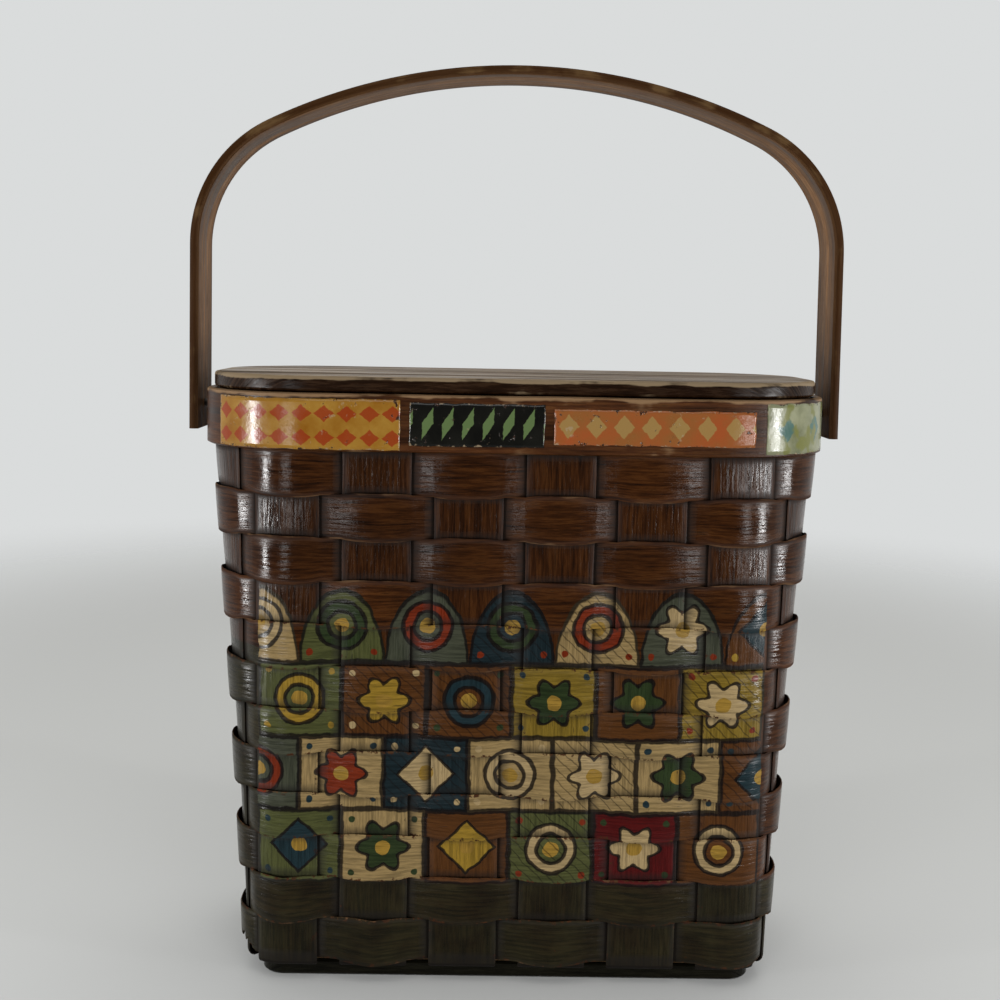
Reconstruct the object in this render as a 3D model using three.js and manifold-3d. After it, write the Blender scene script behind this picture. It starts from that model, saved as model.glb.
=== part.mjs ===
// A lidded basket purse woven from flat wood splints, with a bent wood swing handle.
// Millimetres, +Z up. The origin is the middle of the base board's underside, and the front faces -Y.
import * as THREE from "three";
import { mergeVertices } from "three/addons/utils/BufferGeometryUtils.js";
import Module from "manifold-3d";

const wasm = await Module();
wasm.setup();

// Driving dimensions: rim and body
const RIM_WIDTH = 260;
const RIM_DEPTH = 124;
const RIM_CORNER = 48;
const RIM_HEIGHT = 23;
const BODY_HEIGHT = 243.5;
const OUTER_HOOP_THICKNESS = 3;
const INNER_HOOP_THICKNESS = 3;
const INNER_HOOP_HEIGHT = 20;
const HOOP_EDGE = 0.9;
const HOOP_BUTT_GAP = 0.8;

// Driving dimensions: woven wall
const FOOT_WIDTH = 217;
const FOOT_DEPTH = 102;
const FOOT_CORNER = 16;
const STAKE_COUNT = 18;
const FRONT_STAKES = 6;
const STAKE_WIDTH = 27.5;
const STAKE_THICKNESS = 0.9;
const STAKE_FOLD_RADIUS = 2;
const STAKE_TONGUE_LENGTH = 10;
const STAKE_TONGUE_TAPER = 0.65;
const WEAVER_ROWS = 12;
const WEAVER_THICKNESS = 0.8;
const WEAVER_BOW = 0.5;
const WEAVER_ROW_GAP = 0.4;
const WEAVER_TURN_MARGIN = 0.6;
const WEAVER_SEAM_GAP = 0.03;
const CORNER_BEND = 0.4;
const FLAT_ENOUGH = 0.9999;

// Driving dimensions: base
const BASE_THICKNESS = 6.4;
const BASE_INSET = 6.5;
const FLOOR_THICKNESS = 3;
const FLOOR_INSET = 4;
const BOARD_EDGE = 0.8;
const MIN_CORNER = 0.5;

// Driving dimensions: lid and its two butt hinges
const LID_INSET = 3;
const LID_THICKNESS = 6.4;
const LID_EDGE = 0.9;
const HINGE_SPACING = 118;
const HINGE_LENGTH = 25;
const HINGE_LEAF_THICKNESS = 0.9;
const HINGE_KNUCKLE_RADIUS = 2.2;
const HINGE_PIN_RADIUS = 1;
const HINGE_MIDDLE_KNUCKLE = 8.6;
const RIM_LEAF_HEIGHT = 15;
const LID_LEAF_DEPTH = 20;
const SCREW_RADIUS = 1;
const SCREW_HEAD_RADIUS = 2.1;
const SCREW_CROWN_RADIUS = 1.5;
const SCREW_HEAD_HEIGHT = 1.1;
const SCREW_SPACING = 15;
const SCREW_EDGE_DISTANCE = 5;
const RIM_SCREW_GRIP = 2.2;
const LID_SCREW_GRIP = 4;

// Driving dimensions: handle and its pivots
const HANDLE_RIM_GAP = 4.6;
const HANDLE_RISE = 136.6;
const HANDLE_WIDTH = 31;
const HANDLE_THICKNESS = 3.8;
const HANDLE_EDGE = 0.9;
const HANDLE_CROWN_RADIUS = 242;
const HANDLE_SHOULDER_RADIUS = 58;
const HANDLE_END_BELOW_PIVOT = 10.5;
const PIVOT_BELOW_RIM = 8;
const BOLT_RADIUS = 1.6;
const BOLT_HEAD_RADIUS = 3.3;
const BOLT_HEAD_LAND = 0.3;
const BOLT_HEAD_CONE = 1.5;
const WASHER_RADIUS = 6;
const WASHER_THICKNESS = 1.6;
const NUT_ACROSS_FLATS = 6.4;
const NUT_THICKNESS = 2.6;
const BOLT_END_PAST_NUT = 1.2;

// Clearances between pieces that touch on the real object
const FIT = 0.3;
const KNUCKLE_GAP = 0.4;
const PIN_CLEARANCE = 0.12;

// Facet counts
const ARC_STEPS = 9;
const PLATE_ARC_STEPS = 4;
const CROWN_STEPS = 14;
const ROUND_SIDES = 16;
const SCREW_SIDES = 8;

// Heights worked out from the driving dimensions
const rimTop = BODY_HEIGHT;
const rimBottom = rimTop - RIM_HEIGHT;
const tongueZ = BASE_THICKNESS + FIT + STAKE_THICKNESS / 2;
const footZ = tongueZ + STAKE_FOLD_RADIUS;
const floorBottom = tongueZ + STAKE_THICKNESS / 2 + FIT;
const weaveBottom = Math.max(footZ, floorBottom) + 1;
const rowPitch = (rimBottom - FIT - weaveBottom) / WEAVER_ROWS;
const lidBottom = rimTop + FIT;
const pivotZ = rimTop - PIVOT_BELOW_RIM;

// Materials
const paint = (color, roughness, metalness = 0) =>
  new THREE.MeshStandardMaterial({ color, roughness, metalness });
const splintWood = paint(0x5a3a22, 0.5);
const hoopWood = paint(0x66411f, 0.45);
const lidWood = paint(0x3c2a20, 0.45);
const handleWood = paint(0x4a2f1c, 0.4);
const baseWood = paint(0x241c14, 0.6);
const panelWood = paint(0x8a6a48, 0.7);
const brass = paint(0x9a7a3a, 0.4, 1);
const steel = paint(0x9a9a98, 0.35, 1);
const blackSteel = paint(0x17130f, 0.7);

const part = new THREE.Group();

function add(name, geometry, material) {
  const mesh = new THREE.Mesh(geometry, material);
  mesh.name = name;
  part.add(mesh);
}

// Solid modelling helpers

function toSolid(geometry) {
  const bare = geometry.clone();
  bare.deleteAttribute("normal");
  bare.deleteAttribute("uv");
  const merged = mergeVertices(bare, 1e-4);
  return new wasm.Manifold(
    new wasm.Mesh({
      numProp: 3,
      vertProperties: new Float32Array(merged.attributes.position.array),
      triVerts: new Uint32Array(merged.index.array),
    }),
  );
}

function fromSolid(solid) {
  const mesh = solid.getMesh();
  const geometry = new THREE.BufferGeometry();
  geometry.setAttribute("position", new THREE.BufferAttribute(new Float32Array(mesh.vertProperties), 3));
  geometry.setIndex(new THREE.BufferAttribute(new Uint32Array(mesh.triVerts), 1));
  geometry.computeVertexNormals();
  return geometry;
}

function cut(geometry, ...tools) {
  return fromSolid(tools.reduce((solid, tool) => solid.subtract(toSolid(tool)), toSolid(geometry)));
}

function join(geometry, ...others) {
  return fromSolid(others.reduce((solid, other) => solid.add(toSolid(other)), toSolid(geometry)));
}

function cylinder(radius, length, axis, centre, sides = ROUND_SIDES) {
  const geometry = new THREE.CylinderGeometry(radius, radius, length, sides);
  if (axis === "x") geometry.rotateZ(-Math.PI / 2);
  if (axis === "z") geometry.rotateX(Math.PI / 2);
  return geometry.translate(...centre);
}

function block(low, high) {
  const size = high.map((value, k) => value - low[k]);
  const centre = high.map((value, k) => (value + low[k]) / 2);
  return new THREE.BoxGeometry(...size).translate(...centre);
}

// A turned piece: profile holds [radius, height] pairs, and the axis is +Y.
function turned(profile, sides = ROUND_SIDES) {
  return new THREE.LatheGeometry(
    profile.map(([radius, height]) => new THREE.Vector2(radius, height)),
    sides,
  );
}

// Skins a row of sections. A section lists its outer points, then its inner points coming back.
function loft(sections) {
  const count = sections[0].length;
  const positions = sections.flat().flatMap((p) => [p.x, p.y, p.z]);
  const faces = [];
  for (let s = 0; s + 1 < sections.length; s++) {
    for (let k = 0; k < count; k++) {
      const a = s * count + k;
      const b = s * count + ((k + 1) % count);
      faces.push(a, b + count, b, a, a + count, b + count);
    }
  }
  const last = (sections.length - 1) * count;
  for (let k = 0; k + 1 < count / 2; k++) {
    const [a, b, c, d] = [k, k + 1, count - 2 - k, count - 1 - k];
    faces.push(a, b, c, a, c, d);
    faces.push(last + a, last + c, last + b, last + a, last + d, last + c);
  }
  const geometry = new THREE.BufferGeometry();
  geometry.setAttribute("position", new THREE.Float32BufferAttribute(positions, 3));
  geometry.setIndex(faces);
  return geometry;
}

// Plan outlines: rounded rectangles measured along their line from the middle of the front

function outline(halfWidth, halfDepth, corner) {
  const straight = halfWidth - corner;
  const arc = (Math.PI / 2) * corner;
  const quarter = straight + arc + (halfDepth - corner);
  function firstQuarter(s) {
    if (s <= straight) return [s, -halfDepth, 0, -1];
    if (s >= straight + arc) return [halfWidth, s - quarter, 1, 0];
    const turn = (s - straight) / corner;
    const nx = Math.sin(turn);
    const ny = -Math.cos(turn);
    return [straight + corner * nx, corner - halfDepth + corner * ny, nx, ny];
  }
  function at(distance) {
    const side = Math.sign(distance) || 1;
    const reach = Math.abs(distance);
    const back = reach > quarter;
    const [x, y, nx, ny] = firstQuarter(back ? 2 * quarter - reach : reach);
    const depth = back ? -1 : 1;
    return { x: side * x, y: depth * y, nx: side * nx, ny: depth * ny };
  }
  return { halfWidth, halfDepth, corner, straight, arc, quarter, at };
}

const inset = (line, distance) =>
  outline(line.halfWidth - distance, line.halfDepth - distance, Math.max(line.corner - distance, MIN_CORNER));

// Stations all round an outline, closer together on the corners, leaving a butt joint at the back.
function stationsRound(line, buttGap) {
  const half = [0];
  for (let k = 0; k <= ARC_STEPS; k++) half.push(line.straight + (line.arc * k) / ARC_STEPS);
  for (let k = 0; k <= ARC_STEPS; k++) half.push(2 * line.quarter - half[1 + ARC_STEPS - k]);
  half.push(2 * line.quarter - buttGap / 2);
  return [...half.slice(1).reverse().map((s) => -s), ...half];
}

function plate(line, thickness, edge, bottom) {
  const shape = new THREE.Shape();
  const w = line.halfWidth - edge;
  const d = line.halfDepth - edge;
  const r = Math.max(line.corner - edge, MIN_CORNER);
  shape.moveTo(-w + r, -d);
  shape.lineTo(w - r, -d);
  shape.absarc(w - r, -d + r, r, -Math.PI / 2, 0);
  shape.lineTo(w, d - r);
  shape.absarc(w - r, d - r, r, 0, Math.PI / 2);
  shape.lineTo(-w + r, d);
  shape.absarc(-w + r, d - r, r, Math.PI / 2, Math.PI);
  shape.lineTo(-w, -d + r);
  shape.absarc(-w + r, -d + r, r, Math.PI, 1.5 * Math.PI);
  const geometry = new THREE.ExtrudeGeometry(shape, {
    depth: thickness - 2 * edge,
    bevelEnabled: true,
    bevelThickness: edge,
    bevelSize: edge,
    bevelSegments: 1,
    curveSegments: PLATE_ARC_STEPS,
  });
  return geometry.translate(0, 0, bottom + edge);
}

// The wall: a ruled surface from the rim's line to the foot's line.
// A place on it is a stake coordinate, where whole steps are one stake apart, and a height.

const rimLine = outline(RIM_WIDTH / 2, RIM_DEPTH / 2, RIM_CORNER);
const hoopSag = RIM_CORNER * (1 - Math.cos(Math.PI / 4 / ARC_STEPS));
const stakeFace = OUTER_HOOP_THICKNESS + FIT + hoopSag;
const wallLine = inset(rimLine, stakeFace + STAKE_THICKNESS / 2);
const stakeSag = (CORNER_BEND * STAKE_WIDTH) ** 2 / (8 * wallLine.corner);
const footLine = outline(FOOT_WIDTH / 2, FOOT_DEPTH / 2, FOOT_CORNER);
const stakePitch = (4 * wallLine.quarter) / STAKE_COUNT;
const sideCoordinate = STAKE_COUNT / 4;
const frontCoordinate = (FRONT_STAKES - 1) / 2;
const stakeHalf = STAKE_WIDTH / 2 / stakePitch;

// The front and back stakes stay parallel, and the side stakes draw together towards the foot.
function footDistance(g) {
  const side = Math.sign(g);
  const reach = Math.abs(g);
  if (reach > sideCoordinate) {
    return side * (2 * footLine.quarter - footDistance(2 * sideCoordinate - reach));
  }
  if (reach <= frontCoordinate) return g * stakePitch;
  const start = frontCoordinate * stakePitch;
  const share = (reach - frontCoordinate) / (sideCoordinate - frontCoordinate);
  return side * (start + share * (footLine.quarter - start));
}

function wall(g, z) {
  const top = wallLine.at(stakePitch * g);
  const foot = footLine.at(footDistance(g));
  const share = Math.min(Math.max((rimBottom - z) / (rimBottom - footZ), 0), 1);
  const mix = (a, b) => a + (b - a) * share;
  const nx = mix(top.nx, foot.nx);
  const ny = mix(top.ny, foot.ny);
  const length = Math.hypot(nx, ny);
  return { x: mix(top.x, foot.x), y: mix(top.y, foot.y), nx: nx / length, ny: ny / length };
}

function offWall(g, z, offset) {
  const p = wall(g, z);
  return new THREE.Vector3(p.x + p.nx * offset, p.y + p.ny * offset, z);
}

const stakeCoordinates = Array.from({ length: STAKE_COUNT }, (_, k) => k - (STAKE_COUNT - 1) / 2);

function turnsCorner(centre) {
  const edges = [rimBottom, footZ].map((z) => [wall(centre - stakeHalf, z), wall(centre + stakeHalf, z)]);
  return edges.some(([a, b]) => a.nx * b.nx + a.ny * b.ny < FLAT_ENOUGH);
}

// Places across a stake, from edge to edge, where it and the weavers that pass it bend.
const innerBends = (centre) => (turnsCorner(centre) ? [-CORNER_BEND, CORNER_BEND] : []);

// A stake: flat splint, clamped upright in the rim, leaning to the foot, folded in over the base board.
function stake(centre) {
  const across = [-1, ...innerBends(centre), 1];
  const inward = wall(centre, footZ);
  const half = STAKE_THICKNESS / 2;
  const upright = (z) => {
    const outer = across.map((u) => offWall(centre + u * stakeHalf, z, half));
    const inner = across.map((u) => offWall(centre + u * stakeHalf, z, -half));
    return [...outer, ...inner.reverse()];
  };
  // Below the foot line the strip turns by an angle about the fold, then runs inward along the base.
  const folded = (angle, run) => {
    const taper = 1 - (STAKE_TONGUE_TAPER * run) / STAKE_TONGUE_LENGTH;
    const place = (u, radius) => {
      const p = offWall(centre + u * taper * stakeHalf, footZ, 0);
      const back = STAKE_FOLD_RADIUS - radius * Math.cos(angle) + run;
      const z = footZ - radius * Math.sin(angle);
      return new THREE.Vector3(p.x - inward.nx * back, p.y - inward.ny * back, z);
    };
    const outer = across.map((u) => place(u, STAKE_FOLD_RADIUS + half));
    const inner = across.map((u) => place(u, STAKE_FOLD_RADIUS - half));
    return [...outer, ...inner.reverse()];
  };
  const sections = [upright(rimTop - HOOP_EDGE), upright(rimBottom)];
  if (across.length > 2) {
    for (let row = 2; row <= WEAVER_ROWS; row += 2) sections.push(upright(rimBottom - row * rowPitch));
  }
  sections.push(upright(footZ));
  for (const angle of [Math.PI / 4, Math.PI / 2]) sections.push(folded(angle, 0));
  sections.push(folded(Math.PI / 2, STAKE_TONGUE_LENGTH));
  return loft(sections);
}

// A weaver: flat splint that passes outside one stake and inside the next, all round the wall.
// Its two ends butt together inside a back stake.
const weaveOffset = STAKE_THICKNESS / 2 + FIT + WEAVER_THICKNESS / 2;

function passesOutside(centre, row) {
  const step = Math.round(centre - stakeCoordinates[0]) + row;
  return step % 2 === 0 ? 1 : -1;
}

function weaver(row) {
  const high = rimBottom - FIT - row * rowPitch;
  const low = high - rowPitch + WEAVER_ROW_GAP;
  const half = WEAVER_THICKNESS / 2;
  const edge = 1 + WEAVER_TURN_MARGIN / (stakeHalf * stakePitch);
  const seam = passesOutside(stakeCoordinates[0], row) < 0 ? 0 : 1;

  const sections = [];
  const pass = (centre, places) => {
    const side = passesOutside(centre, row);
    for (const u of places) {
      const g = centre + u * stakeHalf;
      const offset = side * (weaveOffset + WEAVER_BOW * Math.cos((u / edge) * (Math.PI / 2)));
      sections.push([
        offWall(g, low, offset + half),
        offWall(g, high, offset + half),
        offWall(g, high, offset - half),
        offWall(g, low, offset - half),
      ]);
    }
  };

  const seamStake = stakeCoordinates[seam];
  pass(seamStake, [WEAVER_SEAM_GAP, edge]);
  for (let k = 1; k < STAKE_COUNT; k++) {
    const centre = stakeCoordinates[(seam + k) % STAKE_COUNT];
    const bends = turnsCorner(centre) ? innerBends(centre) : [0];
    pass(centre, [-edge, ...bends, edge]);
  }
  pass(seamStake, [-edge, -WEAVER_SEAM_GAP]);
  return loft(sections);
}

// A hoop: bent strip with eased edges, standing round the rim's line.
function hoop(line, thickness, low, high) {
  const e = Math.min(HOOP_EDGE, thickness / 3);
  const profile = [
    [-e, low],
    [0, low + e],
    [0, high - e],
    [-e, high],
    [e - thickness, high],
    [-thickness, high - e],
    [-thickness, low + e],
    [e - thickness, low],
  ];
  const sections = stationsRound(line, HOOP_BUTT_GAP).map((s) => {
    const p = line.at(s);
    return profile.map(([out, z]) => new THREE.Vector3(p.x + p.nx * out, p.y + p.ny * out, z));
  });
  return loft(sections);
}

// The pivots' places
const pivotSides = { left: -1, right: 1 };
const rimSide = RIM_WIDTH / 2;
const handleOuter = rimSide + HANDLE_RIM_GAP + HANDLE_THICKNESS;
const innerHoopLine = inset(rimLine, stakeFace + STAKE_THICKNESS + stakeSag + FIT);
const innerHoopFace = innerHoopLine.halfWidth - INNER_HOOP_THICKNESS;
const nutFace = innerHoopFace - FIT;
const boltFace = handleOuter - FIT;
const boltEnd = nutFace - NUT_THICKNESS - BOLT_END_PAST_NUT;

const pivotHole = (side, from, to) => {
  const x = (side * (from + to)) / 2;
  return cylinder(BOLT_RADIUS + FIT, to - from, "x", [x, 0, pivotZ]);
};
const pivotHoles = (from, to) => Object.values(pivotSides).map((side) => pivotHole(side, from, to));

// The hinges' places
const axisY = RIM_DEPTH / 2 + FIT + HINGE_KNUCKLE_RADIUS;
const axisZ = rimTop + FIT / 2;
const hingeSides = { left: -HINGE_SPACING / 2, right: HINGE_SPACING / 2 };
const leafBack = RIM_DEPTH / 2 + FIT;
const lidLeafZ = lidBottom + FIT;
const screwOffsets = [-SCREW_SPACING / 2, SCREW_SPACING / 2];
const rimScrewZ = axisZ - RIM_LEAF_HEIGHT + SCREW_EDGE_DISTANCE;
const lidScrewY = axisY - LID_LEAF_DEPTH + SCREW_EDGE_DISTANCE;
const screwHole = SCREW_RADIUS + FIT;

function makeBase() {
  add("base_board", plate(inset(footLine, BASE_INSET), BASE_THICKNESS, BOARD_EDGE, 0), baseWood);
  const floorLine = inset(footLine, FLOOR_INSET);
  add("floor_panel", plate(floorLine, FLOOR_THICKNESS, BOARD_EDGE, floorBottom), panelWood);
}

function makeWall() {
  stakeCoordinates.forEach((centre, k) => {
    const atPivot = Math.abs(Math.abs(centre) - sideCoordinate) < 0.01;
    const side = Math.sign(centre);
    const solid = atPivot ? cut(stake(centre), pivotHole(side, innerHoopFace, rimSide)) : stake(centre);
    add(`stake_${String(k + 1).padStart(2, "0")}`, solid, splintWood);
  });
  for (let row = 0; row < WEAVER_ROWS; row++) {
    add(`weaver_${String(row + 1).padStart(2, "0")}`, weaver(row), splintWood);
  }
}

function makeRim() {
  const outer = hoop(rimLine, OUTER_HOOP_THICKNESS, rimBottom, rimTop);
  const screwDepth = RIM_SCREW_GRIP + FIT;
  const screwHoles = Object.values(hingeSides).flatMap((x) =>
    screwOffsets.map((offset) =>
      cylinder(screwHole, 2 * screwDepth, "y", [x + offset, RIM_DEPTH / 2, rimScrewZ]),
    ),
  );
  add("outer_rim_hoop", cut(outer, ...pivotHoles(innerHoopFace, rimSide + 1), ...screwHoles), hoopWood);
  const inner = hoop(innerHoopLine, INNER_HOOP_THICKNESS, rimTop - INNER_HOOP_HEIGHT, rimTop);
  add("inner_rim_hoop", cut(inner, ...pivotHoles(innerHoopFace - 1, rimSide)), hoopWood);
}

function makeLid() {
  const board = plate(inset(rimLine, LID_INSET), LID_THICKNESS, LID_EDGE, lidBottom);
  const leafDepth = HINGE_LEAF_THICKNESS + 2 * FIT;
  const recesses = Object.values(hingeSides).map((x) =>
    block(
      [x - HINGE_LENGTH / 2 - FIT, axisY - LID_LEAF_DEPTH - FIT, lidBottom - 1],
      [x + HINGE_LENGTH / 2 + FIT, axisY, lidBottom + leafDepth],
    ),
  );
  const holes = Object.values(hingeSides).flatMap((x) =>
    screwOffsets.map((offset) => {
      const depth = leafDepth + LID_SCREW_GRIP + FIT;
      return cylinder(screwHole, depth, "z", [x + offset, lidScrewY, lidBottom + depth / 2]);
    }),
  );
  add("lid", cut(board, ...recesses, ...holes), lidWood);
}

// One leaf's knuckles: the rim leaf has the two outer ones, the lid leaf the middle one.
function knuckles(x, spans) {
  return spans.map(([from, to]) => {
    const middle = x + (from + to) / 2;
    return cylinder(HINGE_KNUCKLE_RADIUS, to - from, "x", [middle, axisY, axisZ]);
  });
}

function makeHinge(name, x) {
  const half = HINGE_LENGTH / 2;
  const middle = HINGE_MIDDLE_KNUCKLE / 2;
  const relief = HINGE_KNUCKLE_RADIUS + KNUCKLE_GAP;
  const outerSpans = [
    [-half, -middle - KNUCKLE_GAP],
    [middle + KNUCKLE_GAP, half],
  ];
  const middleSpans = [[-middle, middle]];
  const bore = cylinder(HINGE_PIN_RADIUS + PIN_CLEARANCE, HINGE_LENGTH + 2, "x", [x, axisY, axisZ]);

  const rimPlate = block(
    [x - half, leafBack, axisZ - RIM_LEAF_HEIGHT],
    [x + half, leafBack + HINGE_LEAF_THICKNESS, axisZ],
  );
  const rimNotch = block(
    [x - middle - KNUCKLE_GAP, leafBack - 1, axisZ - relief],
    [x + middle + KNUCKLE_GAP, axisY + relief, axisZ + relief],
  );
  const rimHoles = screwOffsets.map((offset) =>
    cylinder(screwHole, 4 * HINGE_LEAF_THICKNESS, "y", [x + offset, leafBack, rimScrewZ]),
  );
  const rimLeaf = join(cut(rimPlate, rimNotch), ...knuckles(x, outerSpans));
  add(`hinge_rim_leaf_${name}`, cut(rimLeaf, bore, ...rimHoles), brass);

  const lidPlate = block(
    [x - half, axisY - LID_LEAF_DEPTH, lidLeafZ],
    [x + half, axisY, lidLeafZ + HINGE_LEAF_THICKNESS],
  );
  const lidNotches = outerSpans.map(([from, to]) =>
    block(
      [x + from - KNUCKLE_GAP, axisY - relief, axisZ - relief],
      [x + to + KNUCKLE_GAP, axisY + relief, axisZ + relief],
    ),
  );
  const lidHoles = screwOffsets.map((offset) =>
    cylinder(screwHole, 4 * HINGE_LEAF_THICKNESS, "z", [x + offset, lidScrewY, lidLeafZ]),
  );
  const lidLeaf = join(cut(lidPlate, ...lidNotches), ...knuckles(x, middleSpans));
  add(`hinge_lid_leaf_${name}`, cut(lidLeaf, bore, ...lidHoles), brass);

  add(`hinge_pin_${name}`, cylinder(HINGE_PIN_RADIUS, HINGE_LENGTH, "x", [x, axisY, axisZ]), brass);

  screwOffsets.forEach((offset, k) => {
    const seat = HINGE_LEAF_THICKNESS + FIT;
    const rimScrew = screw(seat + FIT + RIM_SCREW_GRIP).rotateX(Math.PI);
    rimScrew.translate(x + offset, leafBack + seat, rimScrewZ);
    add(`hinge_rim_screw_${name}_${k + 1}`, rimScrew, brass);
    const lidScrew = screw(seat + FIT + LID_SCREW_GRIP).rotateX(Math.PI / 2);
    lidScrew.translate(x + offset, lidScrewY, lidLeafZ - FIT);
    add(`hinge_lid_screw_${name}_${k + 1}`, lidScrew, brass);
  });
}

// A round-headed screw: the shank runs along +Y from the underside of the head.
function screw(length) {
  return turned([
    [0, -SCREW_HEAD_HEIGHT],
    [SCREW_CROWN_RADIUS, -SCREW_HEAD_HEIGHT],
    [SCREW_HEAD_RADIUS, -SCREW_HEAD_HEIGHT / 2],
    [SCREW_HEAD_RADIUS, 0],
    [SCREW_RADIUS, 0],
    [SCREW_RADIUS, length - SCREW_RADIUS],
    [0, length],
  ], SCREW_SIDES);
}

// The handle's outer line: upright legs, round shoulders and a shallow crown, as [x, z, tangent angle].
function handleLine() {
  const crownCentre = rimTop + HANDLE_RISE - HANDLE_CROWN_RADIUS;
  const shoulderX = handleOuter - HANDLE_SHOULDER_RADIUS;
  const drop = Math.sqrt((HANDLE_CROWN_RADIUS - HANDLE_SHOULDER_RADIUS) ** 2 - shoulderX ** 2);
  const shoulderZ = crownCentre + drop;
  const meet = Math.atan2(shoulderX, drop);
  const right = [];
  for (let k = 0; k < CROWN_STEPS / 2; k++) {
    const turn = (meet * k) / (CROWN_STEPS / 2);
    const reach = HANDLE_CROWN_RADIUS;
    right.push([reach * Math.sin(turn), crownCentre + reach * Math.cos(turn), turn]);
  }
  for (let k = 0; k <= ARC_STEPS; k++) {
    const turn = meet + ((Math.PI / 2 - meet) * k) / ARC_STEPS;
    const reach = HANDLE_SHOULDER_RADIUS;
    right.push([shoulderX + reach * Math.sin(turn), shoulderZ + reach * Math.cos(turn), turn]);
  }
  right.push([handleOuter, pivotZ + HANDLE_END_BELOW_PIVOT, Math.PI / 2]);
  right.push([handleOuter, pivotZ - HANDLE_END_BELOW_PIVOT, Math.PI / 2]);
  const left = right.slice(1).map(([x, z, turn]) => [-x, z, -turn]);
  return [...left.reverse(), ...right];
}

function makeHandle() {
  const e = HANDLE_EDGE;
  const w = HANDLE_WIDTH / 2;
  const t = HANDLE_THICKNESS;
  const profile = [
    [-w, -e],
    [-w + e, 0],
    [w - e, 0],
    [w, -e],
    [w, e - t],
    [w - e, -t],
    [-w + e, -t],
    [-w, e - t],
  ];
  const sections = handleLine().map(([x, z, turn]) =>
    profile.map(([y, out]) => new THREE.Vector3(x + out * Math.sin(turn), y, z + out * Math.cos(turn))),
  );
  const band = loft(sections);
  const countersinks = Object.values(pivotSides).map((side) =>
    bolt(FIT, HANDLE_THICKNESS).rotateZ((-side * Math.PI) / 2).translate(side * boltFace, 0, pivotZ),
  );
  add("handle", cut(band, ...countersinks), handleWood);
}

// A countersunk pivot bolt along +Y with its head's face at zero.
// As a cutter it is wider all over by an allowance, and its head runs on past the face.
function bolt(allowance = 0, pastFace = 0) {
  const shank = BOLT_RADIUS + allowance;
  const head = BOLT_HEAD_RADIUS + allowance;
  return turned([
    [0, boltEnd - boltFace],
    [shank, boltEnd - boltFace],
    [shank, -BOLT_HEAD_LAND - BOLT_HEAD_CONE - allowance],
    [head, -BOLT_HEAD_LAND - allowance],
    [head, pastFace],
    [0, pastFace],
  ]);
}

function makePivots() {
  for (const [name, side] of Object.entries(pivotSides)) {
    const solidBolt = bolt().rotateZ((-side * Math.PI) / 2);
    add(`pivot_bolt_${name}`, solidBolt.translate(side * boltFace, 0, pivotZ), steel);
    const washerX = side * (rimSide + FIT + WASHER_THICKNESS / 2);
    const washer = cylinder(WASHER_RADIUS, WASHER_THICKNESS, "x", [washerX, 0, pivotZ]);
    const washerHole = cylinder(BOLT_RADIUS + FIT, 2 * WASHER_THICKNESS, "x", [washerX, 0, pivotZ]);
    add(`pivot_washer_${name}`, cut(washer, washerHole), blackSteel);
    const nutX = side * (nutFace - NUT_THICKNESS / 2);
    const nut = cylinder(NUT_ACROSS_FLATS / Math.sqrt(3), NUT_THICKNESS, "x", [nutX, 0, pivotZ], 6);
    const nutHole = cylinder(BOLT_RADIUS + FIT, 2 * NUT_THICKNESS, "x", [nutX, 0, pivotZ]);
    add(`pivot_nut_${name}`, cut(nut, nutHole), steel);
  }
}

makeBase();
makeWall();
makeRim();
makeLid();
for (const [name, x] of Object.entries(hingeSides)) makeHinge(name, x);
makeHandle();
makePivots();

export default part;
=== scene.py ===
"""Looks of a woven splint basket purse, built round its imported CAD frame."""

import math
import random
from functools import partialmethod
from typing import NamedTuple

import bmesh
import bpy
import numpy as np
from mathutils import Matrix, Vector, noise


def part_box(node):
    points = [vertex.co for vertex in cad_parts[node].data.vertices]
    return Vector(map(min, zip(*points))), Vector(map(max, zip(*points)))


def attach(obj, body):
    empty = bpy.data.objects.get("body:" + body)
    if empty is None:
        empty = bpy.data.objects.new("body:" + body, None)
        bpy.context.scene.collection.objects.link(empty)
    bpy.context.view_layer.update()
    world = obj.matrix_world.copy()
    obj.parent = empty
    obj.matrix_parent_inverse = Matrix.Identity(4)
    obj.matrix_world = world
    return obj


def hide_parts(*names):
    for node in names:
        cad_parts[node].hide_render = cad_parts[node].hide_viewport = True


class Role(NamedTuple):
    """What a piece is: the CAD node that it stands for, if any, its body and its material slot."""

    node: str | None
    body: str
    slot: str


class Wood(NamedTuple):
    """Colours of a wood: its pores, its body, its bright fibres, and where its finish is worn off."""

    dark: tuple
    middle: tuple
    light: tuple
    worn: tuple = (0.15, 0.085, 0.042)


class Label(NamedTuple):
    """A paper strip: its ends along the rim, the rim left bare below and above it, and its lozenges."""

    name: str
    ends: tuple
    bare: tuple
    paper: tuple
    ink: tuple
    pitch: tuple
    mark: tuple
    lean: float = 0
    spot: tuple | None = None


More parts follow.
